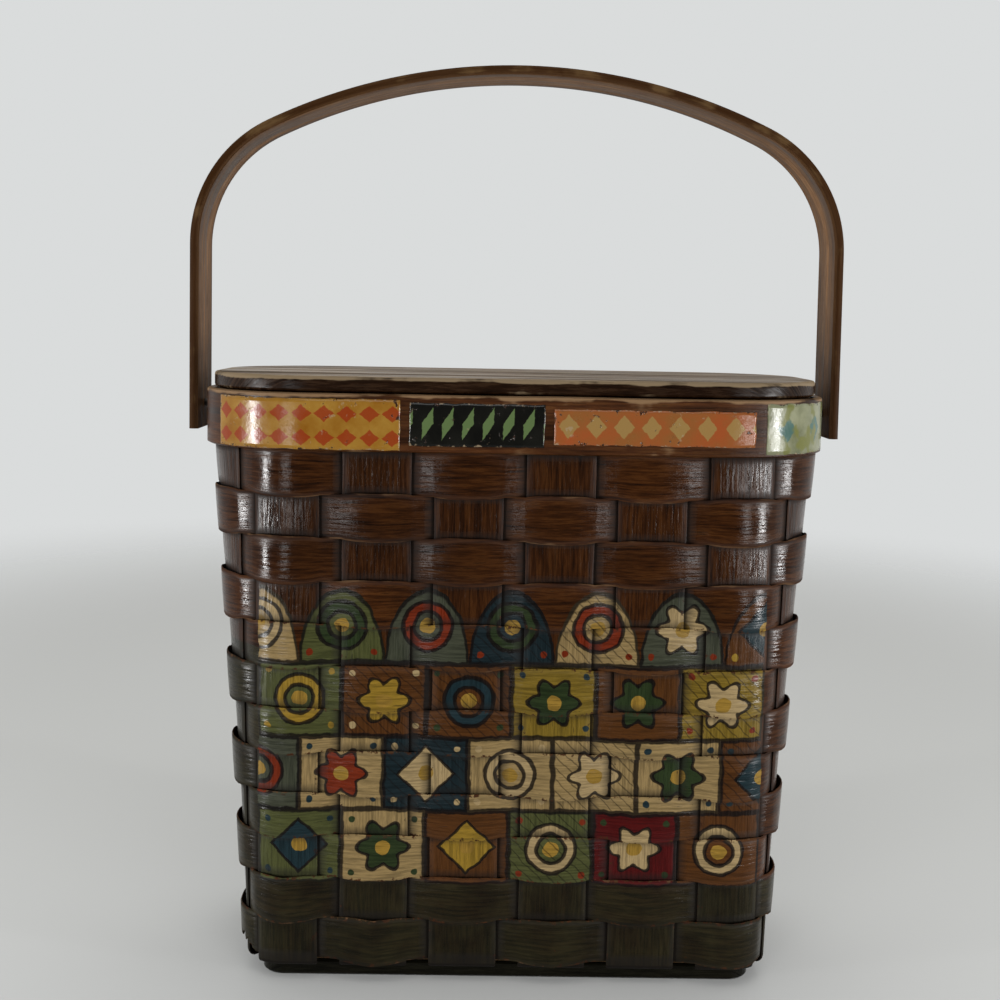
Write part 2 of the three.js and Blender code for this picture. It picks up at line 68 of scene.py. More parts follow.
# Sizes in metres, as in the CAD part
RIM_CORNER = 0.048
OUTER_HOOP_THICKNESS = 0.003
INNER_HOOP_THICKNESS = 0.003
INNER_BUTT_SHIFT = 0.035
BUTT_GAP = 0.0004
FOOT_HALF_WIDTH = 0.1085
FOOT_HALF_DEPTH = 0.051
FOOT_CORNER = 0.016
STAKE_COUNT = 18
FRONT_STAKES = 6
STAKE_WIDTH = 0.0275
STAKE_THICKNESS = 0.0009
STAKE_FACE = 0.0035
FOLD_RADIUS = 0.002
TONGUE_LENGTH = 0.01
TONGUE_TAPER = 0.65
TONGUE_CLEARANCE = 0.0003
WEAVER_ROWS = 12
WEAVER_THICKNESS = 0.0008
HANDLE_WIDTH = 0.031
HANDLE_THICKNESS = 0.0038
HANDLE_CROWN_RADIUS = 0.242
HANDLE_SHOULDER_RADIUS = 0.058
SINK_RADIUS = 0.0036
SINK_RIM = 0.0003
SINK_DEPTH = 0.0021
BOLT_HOLE_RADIUS = 0.0019
BOLT_HOLE_DEPTH = 0.012
LID_CORNER = 0.045
LID_ROUNDING = 0.0012
LEAF_CLEARANCE = 0.0003
LEAF_RECESS = 0.0015
CUT_MARGIN = 0.002
SIDES = {"left": -1, "right": 1}

# How the real pieces differ from plain strips, in metres
WEAVER_OFFSET = 0.00098
WEAVER_BOW_OUT = 0.0016
WEAVER_BOW_IN = 0.0006
WEAVER_BULGE = 0.0009
WEAVER_CROWN = 0.00018
WEAVER_SAG = 0.0003
LOW_ROW_SAG = 0.0019
LOW_ROWS = 2
ROW_OVERLAP = 0.00035
EDGE_WANDER = 0.00028
HOOP_WANDER = 0.0002
HANDLE_WANDER = 0.0003
FRAY_DEPTH = 0.0105
# How far painted shade reaches up and down a stake from each weaver that crosses it, where shadow falls
CROSSING_SHADE_REACH = 0.0035

# Along the weave, in stake pitches from the middle of the front
SEAM_GAP = 0.012
FRAY_PLACE = -3.5
FRAY_HALF = 0.55
FRAY_STEP = 0.014
FRAY_TEETH = 11

# A weaver lies flat over a stake, a little past its edges, then turns to the other side of the wall
PLATEAU_SPREAD = 1.03
PLATEAU_SHARES = (0, 0.3, 0.6, 0.85, 0.95, 1)
TURN_SHARES = (0.05, 0.2, 0.5, 0.8, 0.95)
# From this share of a turn on, painted shade darkens the weaver where it dives into shadow behind a stake
SHADED_TURN = 0.6

# Cross-section of a splint: share of its half width, share of its half thickness, and how exposed it is
SPLINT_SECTION = [
    (-1, -0.3, 1), (-1, 0.3, 1), (-0.955, 1, 0.9), (-0.8, 1, 0.15), (-0.35, 1, 0),
    (0, 1, 0), (0.35, 1, 0), (0.8, 1, 0.15), (0.955, 1, 0.9), (1, 0.3, 1),
    (1, -0.3, 1), (0.955, -1, 0.6), (0.35, -1, 0), (0, -1, 0), (-0.35, -1, 0),
    (-0.955, -1, 0.6),
]
STAKE_EXPOSURE = 0.6
HOOP_LOWER_EXPOSURE = 0.2

# Wear of the lid's edges, and how far in from the outline it fades on the top
LID_WEAR_TOP = 1
LID_WEAR_UNDER = 0.3
LID_WEAR_FADES = [(0.0025, 0.6), (0.006, 0.1)]
LID_UNWORN_ABOVE = 0.002
LID_UNWORN_BELOW = 0.0024
LID_UNDER_INSET = 0.006

# Paper strips, in metres
LABEL_LIFT = 0.00012
LABEL_CURL = 0.00012
LABEL_THICKNESS = 0.0001
TEAR_DEPTH = 0.0004
TEAR_SCALE = 220

# Sampling of the finer pieces
STAKE_STEP = 0.0025
FOLD_STEPS = 4
HOOP_STEPS = 260
CROWN_STEPS = 28
SHOULDER_STEPS = 24
LEG_STEPS = 16
SINK_SIDES = 32
LID_STEPS = 240
LID_ROUNDING_STEPS = 3
LABEL_COLUMNS = 90
LABEL_ROWS = 12
SMOOTH_ANGLE = math.radians(40)

# Grain: the map that holds its place on a bent piece, and how far that is shifted from piece to piece
GRAIN_MAP = "Grain"
GRAIN_SHIFT = 40
WEAVER_TONES = (0.3, 1)
STAKE_TONES = (0, 0.4)

# Woods, as linear colours
SPLINT_WOOD = Wood((0.008, 0.0023, 0.0005), (0.034, 0.01, 0.0017), (0.08, 0.028, 0.006))
RIM_WOOD = Wood((0.016, 0.0048, 0.0012), (0.044, 0.0135, 0.003), (0.08, 0.032, 0.009), (0.25, 0.15, 0.075))
# The handle's colours are lightened to paint in the sheen of its broad faces
HANDLE_WOOD_AND_SHEEN = Wood((0.036, 0.0135, 0.0034), (0.162, 0.082, 0.036), (0.32, 0.192, 0.096), (0.2, 0.12, 0.05))
LID_WOOD = Wood((0.005, 0.002, 0.0008), (0.016, 0.0065, 0.0026), (0.045, 0.022, 0.01), (0.3, 0.22, 0.13))
# The lid's top: worn wood, lightened to paint in its sheen
LID_TOP_WOOD_AND_SHEEN = Wood((0.048, 0.028, 0.016), (0.19, 0.13, 0.078), (0.5, 0.4, 0.28))
BASE_WOOD = Wood((0.002, 0.0018, 0.001), (0.005, 0.0045, 0.0025), (0.011, 0.01, 0.0055))
PANEL_WOOD = Wood((0.05, 0.028, 0.012), (0.11, 0.065, 0.03), (0.17, 0.11, 0.058))
# Near-black colour of the painted shade where the splints cross
CROSSING_SHADE_COLOUR = (0.004, 0.0022, 0.0012)
CHIP_COLOUR = (0.5, 0.46, 0.4)

# Wood surfaces: fibres per metre along and across the grain, where noise mostly lies, and tints
FINE_FIBRES = (60, 1000)
BROAD_FIBRES = (18, 320)
RIDGE_FIBRES = (70, 800)
BENT_STREAKS = (7, 210)
TOP_STREAKS = (4, 75)
MOST_NOISE = (0.3, 0.7)
FINE_SHARE = 0.8
SPLINT_TINTS = [(0.3, (0.62, 0.62, 0.62)), (0.85, (1.3, 1.25, 1.2))]
BENT_TINTS = [(0.36, (0.35, 0.35, 0.35)), (0.64, (1.65, 1.62, 1.56))]
PLANK_TINTS = [(0.3, (0.75, 0.75, 0.75)), (0.7, (1.2, 1.19, 1.17))]
TOP_TINTS = [(0.36, (0.4, 0.38, 0.36)), (0.64, (1.5, 1.5, 1.5))]

# The painted front: a patchwork standing on a green ground band, in metres
PICTURE_LOW = 0.0435
PICTURE_HALF = 0.1025
GREEN_SIDE_TOP = 0.14
PATCH_WIDTH = 0.0342
PATCH_HEIGHT = 0.0305
PATCH_ROWS = 4
PETAL_COUNT = 6
PETAL_DEPTH = 0.0018
FLOWER_RADIUS = 0.0088
RING_RADIUS = 0.0078
RING_HALF = 0.0021
LOZENGE_HALF = 0.0115
EYE_RADIUS = 0.0031
DOT_PLACE = (0.0128, 0.011)
HATCH_PITCH = 0.0048
PAINT_WOBBLE = 0.0022

# Each patch draws a number from 0 to 1 for each of its features
PATCH_SEEDS = {"ground": 1, "motif": 2, "kind": 3, "hatch": 5, "dots": 6, "dot_colour": 7}
FLOWER_LIMIT = 0.42
RING_LIMIT = 0.72
DOT_LIMIT = 0.4
HATCH_LIMIT = 0.6

# Paint, as linear colours
PAINT_LINE = (0.003, 0.0025, 0.0025)
PAINT_EYE = (0.32, 0.19, 0.03)
GREEN_STOPS = [(0.3, (0.005, 0.0055, 0.002)), (0.7, (0.02, 0.02, 0.0075))]
PATCH_COLOURS = [
    (0, (0.31, 0.215, 0.09)), (0.17, (0.052, 0.058, 0.037)), (0.31, (0.205, 0.135, 0.017)),
    (0.44, (0.085, 0.03, 0.006)), (0.56, (0.072, 0.08, 0.025)), (0.69, (0.075, 0.0025, 0.003)),
    (0.79, (0.007, 0.019, 0.024)), (0.89, (0.003, 0.003, 0.003)),
]
MOTIF_COLOURS = [
    (0, (0.17, 0.02, 0.004)), (0.25, (0.009, 0.027, 0.034)), (0.45, (0.3, 0.185, 0.022)),
    (0.62, (0.021, 0.038, 0.012)), (0.8, (0.4, 0.29, 0.14)),
]

# Printed paper
LABEL_BARE = (0.035, 0.013, 0.005)
TORN_PAPER = (0.36, 0.27, 0.17)
LABELS = [
    Label(
        "label_yellow", ends=(-0.1255, -0.046), bare=(0.0008, 0.0022), pitch=(0.009, 0.0095),
        mark=(0.46, 0.36), paper=((0.24, 0.092, 0.005), (0.34, 0.18, 0.025)), ink=(0.26, 0.03, 0.004),
    ),
    Label(
        "label_black", ends=(-0.0423, 0.0112), bare=(0.0028, 0.0032), pitch=(0.008, 0.018), mark=(0.28, 0.36),
        paper=((0.0015, 0.0015, 0.001), (0.005, 0.005, 0.003)), ink=(0.11, 0.17, 0.06), lean=-0.35,
    ),
    Label(
        "label_coral", ends=(0.015, 0.095), bare=(0.0042, 0.0048), pitch=(0.011, 0.0145), mark=(0.38, 0.34),
        paper=((0.32, 0.075, 0.019), (0.24, 0.092, 0.021)), ink=(0.3, 0.19, 0.06),
    ),
    Label(
        "label_pale", ends=(0.1, 0.147), bare=(0.0012, 0.0016), pitch=(0.02, 0.02), mark=(0.26, 0.3),
        paper=((0.12, 0.13, 0.065), (0.27, 0.275, 0.165)), ink=(0.045, 0.12, 0.105), spot=(0.15, 0.155, 0.04),
    ),
]

# Floor and light
FLOOR_COLOUR = (0.68, 0.68, 0.66)
FLOOR_RADIUS = 1.1
FLOOR_FADE = (0.3, 0.99)
FLOOR_PLACE = (0, 0.45, -0.0005)
WORLD_STOPS = [(0.15, (0.16, 0.158, 0.155)), (0.75, (0.7, 0.715, 0.715))]
LAMP_AIM = Vector((0, 0, 0.2))

# Camera: its place in metres, its turns in degrees and its lens
CAMERA_PLACE = (-0.012, -0.634, 0.2738)
CAMERA_YAW = 0.54
CAMERA_PITCH = -3.97
CAMERA_ROLL = 1.01
CAMERA_SHIFT = -0.08
SENSOR_WIDTH = 36
FOCAL_PIXELS = 1455.3
FRAME_PIXELS = 1000

rng = random.Random(7)
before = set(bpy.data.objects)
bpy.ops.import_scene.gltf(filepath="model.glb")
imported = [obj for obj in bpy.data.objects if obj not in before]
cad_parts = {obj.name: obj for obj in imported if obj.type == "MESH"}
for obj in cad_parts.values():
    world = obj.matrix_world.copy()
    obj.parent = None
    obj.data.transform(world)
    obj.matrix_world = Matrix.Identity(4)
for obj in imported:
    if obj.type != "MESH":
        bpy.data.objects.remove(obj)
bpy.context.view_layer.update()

rim_low, rim_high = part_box("outer_rim_hoop")
RIM_HALF_WIDTH, RIM_HALF_DEPTH, RIM_TOP = rim_high
RIM_BOTTOM = rim_low[2]
BASE_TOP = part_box("base_board")[1][2]


# Plan outlines and the wall, measured as in the CAD part


class Outline:
    """A rounded rectangle, measured along its line from the middle of the front."""

    def __init__(self, half_width, half_depth, corner):
        self.half_width = half_width
        self.half_depth = half_depth
        self.corner = corner
        self.straight = half_width - corner
        self.arc = corner * math.pi / 2
        self.quarter = self.straight + self.arc + half_depth - corner

    def first_quarter(self, s):
        """The point x, y and outward normal nx, ny, as far as the middle of the right side."""
        if s <= self.straight:
            return s, -self.half_depth, 0, -1
        if s >= self.straight + self.arc:
            return self.half_width, s - self.quarter, 1, 0
        turn = (s - self.straight) / self.corner
        nx, ny = math.sin(turn), -math.cos(turn)
        return self.straight + self.corner * nx, self.corner - self.half_depth + self.corner * ny, nx, ny

    def at(self, distance):
        """The point and normal at any distance round the line, to the left below 0."""
        round_line = 4 * self.quarter
        distance = (distance + round_line / 2) % round_line - round_line / 2
        side = -1 if distance < 0 else 1
        reach = abs(distance)
        depth = 1
        if reach > self.quarter:
            reach = 2 * self.quarter - reach
            depth = -1
        x, y, nx, ny = self.first_quarter(reach)
        return side * x, depth * y, side * nx, depth * ny

    def inset(self, distance):
        return Outline(self.half_width - distance, self.half_depth - distance, self.corner - distance)


rim_line = Outline(RIM_HALF_WIDTH, RIM_HALF_DEPTH, RIM_CORNER)
wall_line = rim_line.inset(STAKE_FACE + STAKE_THICKNESS / 2)
foot_line = Outline(FOOT_HALF_WIDTH, FOOT_HALF_DEPTH, FOOT_CORNER)
STAKE_PITCH = 4 * wall_line.quarter / STAKE_COUNT
STAKE_HALF = STAKE_WIDTH / 2 / STAKE_PITCH
STAKE_PLACES = [k - (STAKE_COUNT - 1) / 2 for k in range(STAKE_COUNT)]
SIDE_PLACE = STAKE_COUNT / 4
FRONT_PLACE = (FRONT_STAKES - 1) / 2
TONGUE_Z = BASE_TOP + TONGUE_CLEARANCE + STAKE_THICKNESS / 2
FOOT_Z = TONGUE_Z + FOLD_RADIUS
ROW_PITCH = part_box("weaver_01")[1][2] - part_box("weaver_02")[1][2]


def foot_distance(place):
    """Distance along the foot's outline at a stake place. The front's stakes run straight down to it."""
    side = -1 if place < 0 else 1
    reach = abs(place)
    if reach > SIDE_PLACE:
        return side * (2 * foot_line.quarter - foot_distance(2 * SIDE_PLACE - reach))
    if reach <= FRONT_PLACE:
        return place * STAKE_PITCH
    start = FRONT_PLACE * STAKE_PITCH
    share = (reach - FRONT_PLACE) / (SIDE_PLACE - FRONT_PLACE)
    return side * (start + share * (foot_line.quarter - start))


def wall(place, z):
    """Point and outward normal on the wall's middle surface, at a stake place and a height."""
    top = wall_line.at(STAKE_PITCH * place)
    foot = foot_line.at(foot_distance(place))
    share = min(max((RIM_BOTTOM - z) / (RIM_BOTTOM - FOOT_Z), 0), 1)
    x, y, nx, ny = (a + (b - a) * share for a, b in zip(top, foot))
    return Vector((x, y, z)), Vector((nx, ny, 0)).normalized()


# Mesh building


def ring_faces(ring_count, size):
    """Faces of a closed body: quads between rings of points, and a cap at either end."""
    faces = []
    for r in range(ring_count - 1):
        for k in range(size):
            a = r * size + k
            b = r * size + (k + 1) % size
            faces.append((a, b, b + size, a + size))
    last = (ring_count - 1) * size
    faces.append(tuple(range(size)))
    faces.append(tuple(range(last, last + size)))
    return faces


def new_mesh(name, points, faces):
    """A mesh whose faces all point the same way, outwards if it is closed."""
    mesh = bpy.data.meshes.new(name)
    mesh.from_pydata([tuple(p) for p in points], [], faces)
    work = bmesh.new()
    work.from_mesh(mesh)
    bmesh.ops.recalc_face_normals(work, faces=work.faces)
    work.to_mesh(mesh)
    work.free()
    return mesh


def new_object(name, data):
    obj = bpy.data.objects.new(name, data)
    bpy.context.scene.collection.objects.link(obj)
    return obj


def lay_values(mesh, name, values):
    """Keeps one number for each point, which materials read by its name."""
    kept = mesh.attributes.new(name=name, type="FLOAT", domain="POINT")
    kept.data.foreach_set("value", np.asarray(values, dtype=np.float32))


def lay_uv(mesh, point_uv):
    """Gives every point its own place in the grain: distance along the piece, then across it."""
    corner_points = np.zeros(len(mesh.loops), dtype=np.int32)
    mesh.loops.foreach_get("vertex_index", corner_points)
    places = np.asarray(point_uv).astype(np.float32)
    mesh.uv_layers.new(name=GRAIN_MAP).uv.foreach_set("vector", places[corner_points].ravel())


def new_piece(name, role, points, faces, edge, material, tones=(0, 1)):
    """A mesh object in its role. edge is each point's exposure, tones the range of the piece's shade."""
    mesh = new_mesh(name, points, faces)
    lay_values(mesh, "edge", edge)
    lay_values(mesh, "tone", np.full(len(points), rng.uniform(*tones)))
    mesh.materials.append(material)
    mesh.polygons.foreach_set("use_smooth", np.ones(len(mesh.polygons), dtype=bool))
    mesh.set_sharp_from_angle(angle=SMOOTH_ANGLE)
    obj = new_object(name, mesh)
    if role.node:
        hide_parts(role.node)
    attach(obj, role.body)
    return obj


def strip(name, role, rings, lengths, half_sizes, edge, material, tones=(0, 1)):
    """A closed sweep of splint sections, with the distances along it and round it as UV."""
    points = [p for ring in rings for p in ring]
    faces = ring_faces(len(rings), len(rings[0]))
    obj = new_piece(name, role, points, faces, list(edge) * len(rings), material, tones)
    shift = np.array([rng.uniform(0, GRAIN_SHIFT), rng.uniform(0, GRAIN_SHIFT)])
    across = section_across(*half_sizes)
    lay_uv(obj.data, np.array([(s, v) for s in lengths for v in across]) + shift)
    return obj


def cut(obj, rings):
    """Cuts the closed body through these rings of points out of a piece."""
    points = [p for ring in rings for p in ring]
    mesh = new_mesh("cutter", points, ring_faces(len(rings), len(rings[0])))
    cutter = new_object("cutter", mesh)
    cutting = obj.modifiers.new("cut", "BOOLEAN")
    cutting.operation = "DIFFERENCE"
    cutting.solver = "EXACT"
    cutting.object = cutter
    bpy.context.view_layer.update()
    depsgraph = bpy.context.evaluated_depsgraph_get()
    whole = obj.data
    obj.data = bpy.data.meshes.new_from_object(obj.evaluated_get(depsgraph))
    obj.modifiers.clear()
    bpy.data.objects.remove(cutter)
    bpy.data.meshes.remove(mesh)
    bpy.data.meshes.remove(whole)
    obj.data.name = obj.name


def ripple(x, y, z):
    """Smooth noise of about -1 to 1. The three numbers only pick a place in it."""
    return noise.noise(Vector((x, y, z)))


def stray(amount, v, x, y, z, power=3):
    """How far a hand-cut edge strays: most at the sides of a section, where v is -1 or 1."""
    return amount * ripple(x, y, z) * abs(v) ** power


# The woven splints

SECTION_EDGE = [e for _, _, e in SPLINT_SECTION]
STAKE_EDGE = [e * STAKE_EXPOSURE for e in SECTION_EDGE]
HOOP_EDGE = [e if v > 0 else e * HOOP_LOWER_EXPOSURE for v, _, e in SPLINT_SECTION]
PLATEAU = STAKE_HALF * PLATEAU_SPREAD
TURN = 1 - 2 * PLATEAU
CELL_PHASES = [PLATEAU * share for share in PLATEAU_SHARES]
CELL_PHASES += [PLATEAU + TURN * share for share in TURN_SHARES]
CELL_PHASES += [1 - PLATEAU * share for share in PLATEAU_SHARES[:0:-1]]


def section_across(half_width, half_thickness):
    """Distance round a splint's section to each of its points."""
    places = [Vector((v * half_width, t * half_thickness)) for v, t, _ in SPLINT_SECTION]
    distances = [0]
    for a, b in zip(places, places[1:]):
        distances.append(distances[-1] + (b - a).length)
    return distances


def passes_outside(index, row):
    """1 where a weaver passes outside a stake, -1 where it passes inside."""
    return 1 if (index + row) % 2 == 0 else -1


def weave_offset(phase, side):
    """Offset from the wall at a phase of 0 to 1 from one stake's middle to the next, on its other side."""

    def bowed(distance, direction):
        bow = WEAVER_BOW_OUT if direction > 0 else WEAVER_BOW_IN
        return direction * (WEAVER_OFFSET + bow * math.cos(distance / PLATEAU * math.pi / 2))

    if phase <= PLATEAU:
        return bowed(phase, side)
    if phase >= 1 - PLATEAU:
        return bowed(1 - phase, -side)
    share = (phase - PLATEAU) / TURN
    return WEAVER_OFFSET * side * (1 - 2 * share)


def weave_crossing_shade(phase, side):
    """Painted shade where a weaver dives behind a stake: how far its colour darkens, as the shadow in that
    slot.
    """
    inward = phase if side > 0 else 1 - phase
    share = (inward - PLATEAU) / TURN
    return min(max((share - SHADED_TURN) / (1 - SHADED_TURN), 0), 1)


def fray(place):
    """How far the lowest weaver's lower edge is torn away round the front left corner."""
    share = max(0, 1 - abs(place - FRAY_PLACE) / FRAY_HALF)
    tooth = (place * FRAY_TEETH + 0.8 * ripple(place * 6, 1.3, 7.7)) % 1
    return FRAY_DEPTH * min(share * 2, 1) * (0.5 + 0.5 * tooth)


def weaver_travels(seam, frayed):
    """Places of a weaver's rings, in stake pitches from its seam, closer where it is torn."""
    travels = [k + phase for k in range(STAKE_COUNT) for phase in CELL_PHASES]
    travels = [SEAM_GAP] + travels[1:] + [STAKE_COUNT - SEAM_GAP]
    if not frayed:
        return travels
    start = FRAY_PLACE - FRAY_HALF - STAKE_PLACES[0] - seam
    travels += [start + FRAY_STEP * k for k in range(round(2 * FRAY_HALF / FRAY_STEP))]
    return sorted({round(travel, 6) for travel in travels})


def make_weaver(row, material):
    """A splint that runs round the wall, outside every other stake, bowed and sagging over each."""
    node = f"weaver_{row + 1:02d}"
    low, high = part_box(node)
    middle = (low[2] + high[2]) / 2
    half = (high[2] - low[2]) / 2
    seam = 0 if passes_outside(0, row) < 0 else 1
    deepest = LOW_ROW_SAG if row >= WEAVER_ROWS - LOW_ROWS else WEAVER_SAG
    frayed = row == WEAVER_ROWS - 1
    rings, lengths, crossing_shade = [], [], []
    for travel in weaver_travels(seam, frayed):
        index = int(travel)
        phase = travel - index
        side = passes_outside(seam + index, row)
        offset = weave_offset(phase, side)
        place = STAKE_PLACES[0] + seam + travel
        if place > STAKE_COUNT / 2:
            place -= STAKE_COUNT
        to_stake = phase if side > 0 else 1 - phase
        bulge = WEAVER_BULGE * max(0, 1 - (to_stake / PLATEAU) ** 4)
        cell = round(travel if side > 0 else index + 1 if phase > 0 else index)
        droop = max(0, 0.55 + 0.9 * ripple(cell * 1.37 + seam, row * 2.9, 5.5))
        sag = deepest * droop * max(0, 1 - to_stake / PLATEAU)
        ring = []
        for v, t, _ in SPLINT_SECTION:
            z = middle + v * (half + ROW_OVERLAP + bulge) - sag
            z += stray(EDGE_WANDER, v, travel * 1.7, row * 3.1, v * 2)
            if frayed and v < 0:
                z -= v * fray(place)
            p, n = wall(place, z)
            crown = WEAVER_CROWN * (1 - v * v)
            ring.append(p + n * (offset + t * WEAVER_THICKNESS / 2 + crown))
        rings.append(ring)
        lengths.append(travel * STAKE_PITCH)
        # Painted shade of this ring, for the splint material
        crossing_shade.append(weave_crossing_shade(phase, side))
    role = Role(node, "body", "splint")
    sizes = (half, WEAVER_THICKNESS / 2)
    obj = strip(f"{node}_splint", role, rings, lengths, sizes, SECTION_EDGE, material, WEAVER_TONES)
    # Keeps each point's painted shade, which the splint material reads
    lay_values(obj.data, "crossing_shade", np.repeat(crossing_shade, len(SPLINT_SECTION)))


def make_stake(index, material):
    """An upright splint on the wall, folded inwards at the foot into a tapered tongue."""
    node = f"stake_{index + 1:02d}"
    centre = STAKE_PLACES[index]
    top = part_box(node)[1][2]
    half = STAKE_THICKNESS / 2
    outward = wall(centre, FOOT_Z)[1]
    rings, lengths, crossing_shade = [], [], []

    def upright(z):
        ring = []
        for v, t, _ in SPLINT_SECTION:
            wander = stray(EDGE_WANDER, v, z * 60, index * 2.3, v)
            p, n = wall(centre + v * STAKE_HALF + wander / STAKE_PITCH, z)
            ring.append(p + n * t * half)
        rings.append(ring)
        lengths.append(top - z)
        # Painted shade: darker near each crossing weaver, where its edge shades the stake
        row = (RIM_BOTTOM - z) / ROW_PITCH
        to_crossing = min(row % 1, 1 - row % 1) * ROW_PITCH
        crossing_shade.append(max(0, 1 - to_crossing / CROSSING_SHADE_REACH))

    def folded(angle, run):
        taper = 1 - TONGUE_TAPER * run / TONGUE_LENGTH
        ring = []
        for v, t, _ in SPLINT_SECTION:
            radius = FOLD_RADIUS + t * half
            p = wall(centre + v * taper * STAKE_HALF, FOOT_Z)[0]
            p = p - outward * (FOLD_RADIUS - radius * math.cos(angle) + run)
            ring.append(Vector((p.x, p.y, FOOT_Z - radius * math.sin(angle))))
        rings.append(ring)
        lengths.append(top - FOOT_Z + FOLD_RADIUS * angle + run)
        # Painted shade: the tongue folded under the base is fully darkened
        crossing_shade.append(1)

    steps = round((top - FOOT_Z) / STAKE_STEP)
    for k in range(steps + 1):
        upright(top + (FOOT_Z - top) * k / steps)
    for k in range(FOLD_STEPS):
        folded(math.pi / 2 * (k + 1) / FOLD_STEPS, 0)
    for run in (TONGUE_LENGTH / 2, TONGUE_LENGTH):
        folded(math.pi / 2, run)
    role = Role(node, "body", "splint")
    sizes = (STAKE_WIDTH / 2, half)
    obj = strip(f"{node}_splint", role, rings, lengths, sizes, STAKE_EDGE, material, STAKE_TONES)
    # Keeps each point's painted shade, which the splint material reads
    lay_values(obj.data, "crossing_shade", np.repeat(crossing_shade, len(SPLINT_SECTION)))


# Rim, handle, lid and paper strips


def make_hoop(node, line, thickness, butt_shift, material):
    """A bent hoop. Its ends meet at the middle of the back, or butt_shift along from there."""
    low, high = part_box(node)
    middle = (low[2] + high[2]) / 2
    half = (high[2] - low[2]) / 2
    reach = 2 * line.quarter - BUTT_GAP
    rings, lengths = [], []
    for k in range(HOOP_STEPS + 1):
        s = butt_shift - reach + 2 * reach * k / HOOP_STEPS
        x, y, nx, ny = line.at(s)
        ring = []
        for v, t, _ in SPLINT_SECTION:
            out = (t - 1) * thickness / 2
            rise = v * half + stray(HOOP_WANDER, v, s * 25, v, 4, power=4)
            ring.append(Vector((x + nx * out, y + ny * out, middle + rise)))
        rings.append(ring)
        lengths.append(s)
    sizes = (half, thickness / 2)
    strip(f"{node}_bent", Role(node, "body", "hoop"), rings, lengths, sizes, HOOP_EDGE, material)


def handle_line():
    """The handle's outer line from its left end to its right one: x, z and turn, which is 0 at the crown."""
    low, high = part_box("handle")
    crown_z = high[2] - HANDLE_CROWN_RADIUS
    shoulder_x = high[0] - HANDLE_SHOULDER_RADIUS
    rise = math.sqrt((HANDLE_CROWN_RADIUS - HANDLE_SHOULDER_RADIUS) ** 2 - shoulder_x**2)
    shoulder_z = crown_z + rise
    meet = math.atan2(shoulder_x, rise)

    def arc(x, z, radius, turn):
        return x + radius * math.sin(turn), z + radius * math.cos(turn), turn

    right = [arc(0, crown_z, HANDLE_CROWN_RADIUS, meet * k / CROWN_STEPS) for k in range(CROWN_STEPS)]
    for k in range(SHOULDER_STEPS + 1):
        turn = meet + (math.pi / 2 - meet) * k / SHOULDER_STEPS
        right.append(arc(shoulder_x, shoulder_z, HANDLE_SHOULDER_RADIUS, turn))
    for k in range(LEG_STEPS):
        z = shoulder_z + (low[2] - shoulder_z) * (k + 1) / LEG_STEPS
        right.append((high[0], z, math.pi / 2))
    left = [(-x, z, -turn) for x, z, turn in right[:0:-1]]
    return left + right


def sink_bolt(obj, place, sign):
    """Cuts a countersunk bolt hole along X into the handle, its wide end at place."""
    profile = [
        (CUT_MARGIN, SINK_RADIUS), (-SINK_RIM, SINK_RADIUS),
        (-SINK_DEPTH, BOLT_HOLE_RADIUS), (-BOLT_HOLE_DEPTH, BOLT_HOLE_RADIUS),
    ]
    turns = [2 * math.pi * (k + 0.5) / SINK_SIDES for k in range(SINK_SIDES)]
    rings = []
    for x, radius in profile:
        rings.append([place + Vector((sign * x, radius * math.cos(a), radius * math.sin(a))) for a in turns])
    cut(obj, rings)


def make_handle(material):
    """One bent strip, countersunk for its two bolts."""
    rings, lengths = [], []
    travel = 0
    before = None
    for x, z, turn in handle_line():
        here = Vector((x, 0, z))
        if before is not None:
            travel += (here - before).length
        before = here
        out = Vector((math.sin(turn), 0, math.cos(turn)))
        ring = []
        for v, t, _ in SPLINT_SECTION:
            y = v * HANDLE_WIDTH / 2 + stray(HANDLE_WANDER, v, travel * 14, v, 9)
            ring.append(here + out * ((t - 1) * HANDLE_THICKNESS / 2) + Vector((0, y, 0)))
        rings.append(ring)
        lengths.append(travel)
    role = Role("handle", "handle", "handle_wood")
    sizes = (HANDLE_WIDTH / 2, HANDLE_THICKNESS / 2)
    obj = strip("handle_bent", role, rings, lengths, sizes, SECTION_EDGE, material)
    for side, sign in SIDES.items():
        low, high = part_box(f"pivot_bolt_{side}")
        face = max(abs(low[0]), abs(high[0]))
        sink_bolt(obj, Vector((sign * face, 0, (low[2] + high[2]) / 2)), sign)


def lid_layers(under, top):
    """The lid's section from the underside up: inset from its outline, height and wear."""
    turns = [math.pi / 2 * k / LID_ROUNDING_STEPS for k in range(LID_ROUNDING_STEPS + 1)]
    layers = [(LID_UNDER_INSET, under, 0)]
    for turn in turns:
        z = under + LID_ROUNDING * (1 - math.cos(turn))
        layers.append((LID_ROUNDING * (1 - math.sin(turn)), z, LID_WEAR_UNDER))
    layers += [(0, under + LID_UNWORN_ABOVE, 0), (0, top - LID_UNWORN_BELOW, 0)]
    for turn in turns:
        z = top - LID_ROUNDING * (1 - math.sin(turn))
        layers.append((LID_ROUNDING * (1 - math.cos(turn)), z, LID_WEAR_TOP))
    return layers + [(inset, top, wear) for inset, wear in LID_WEAR_FADES]


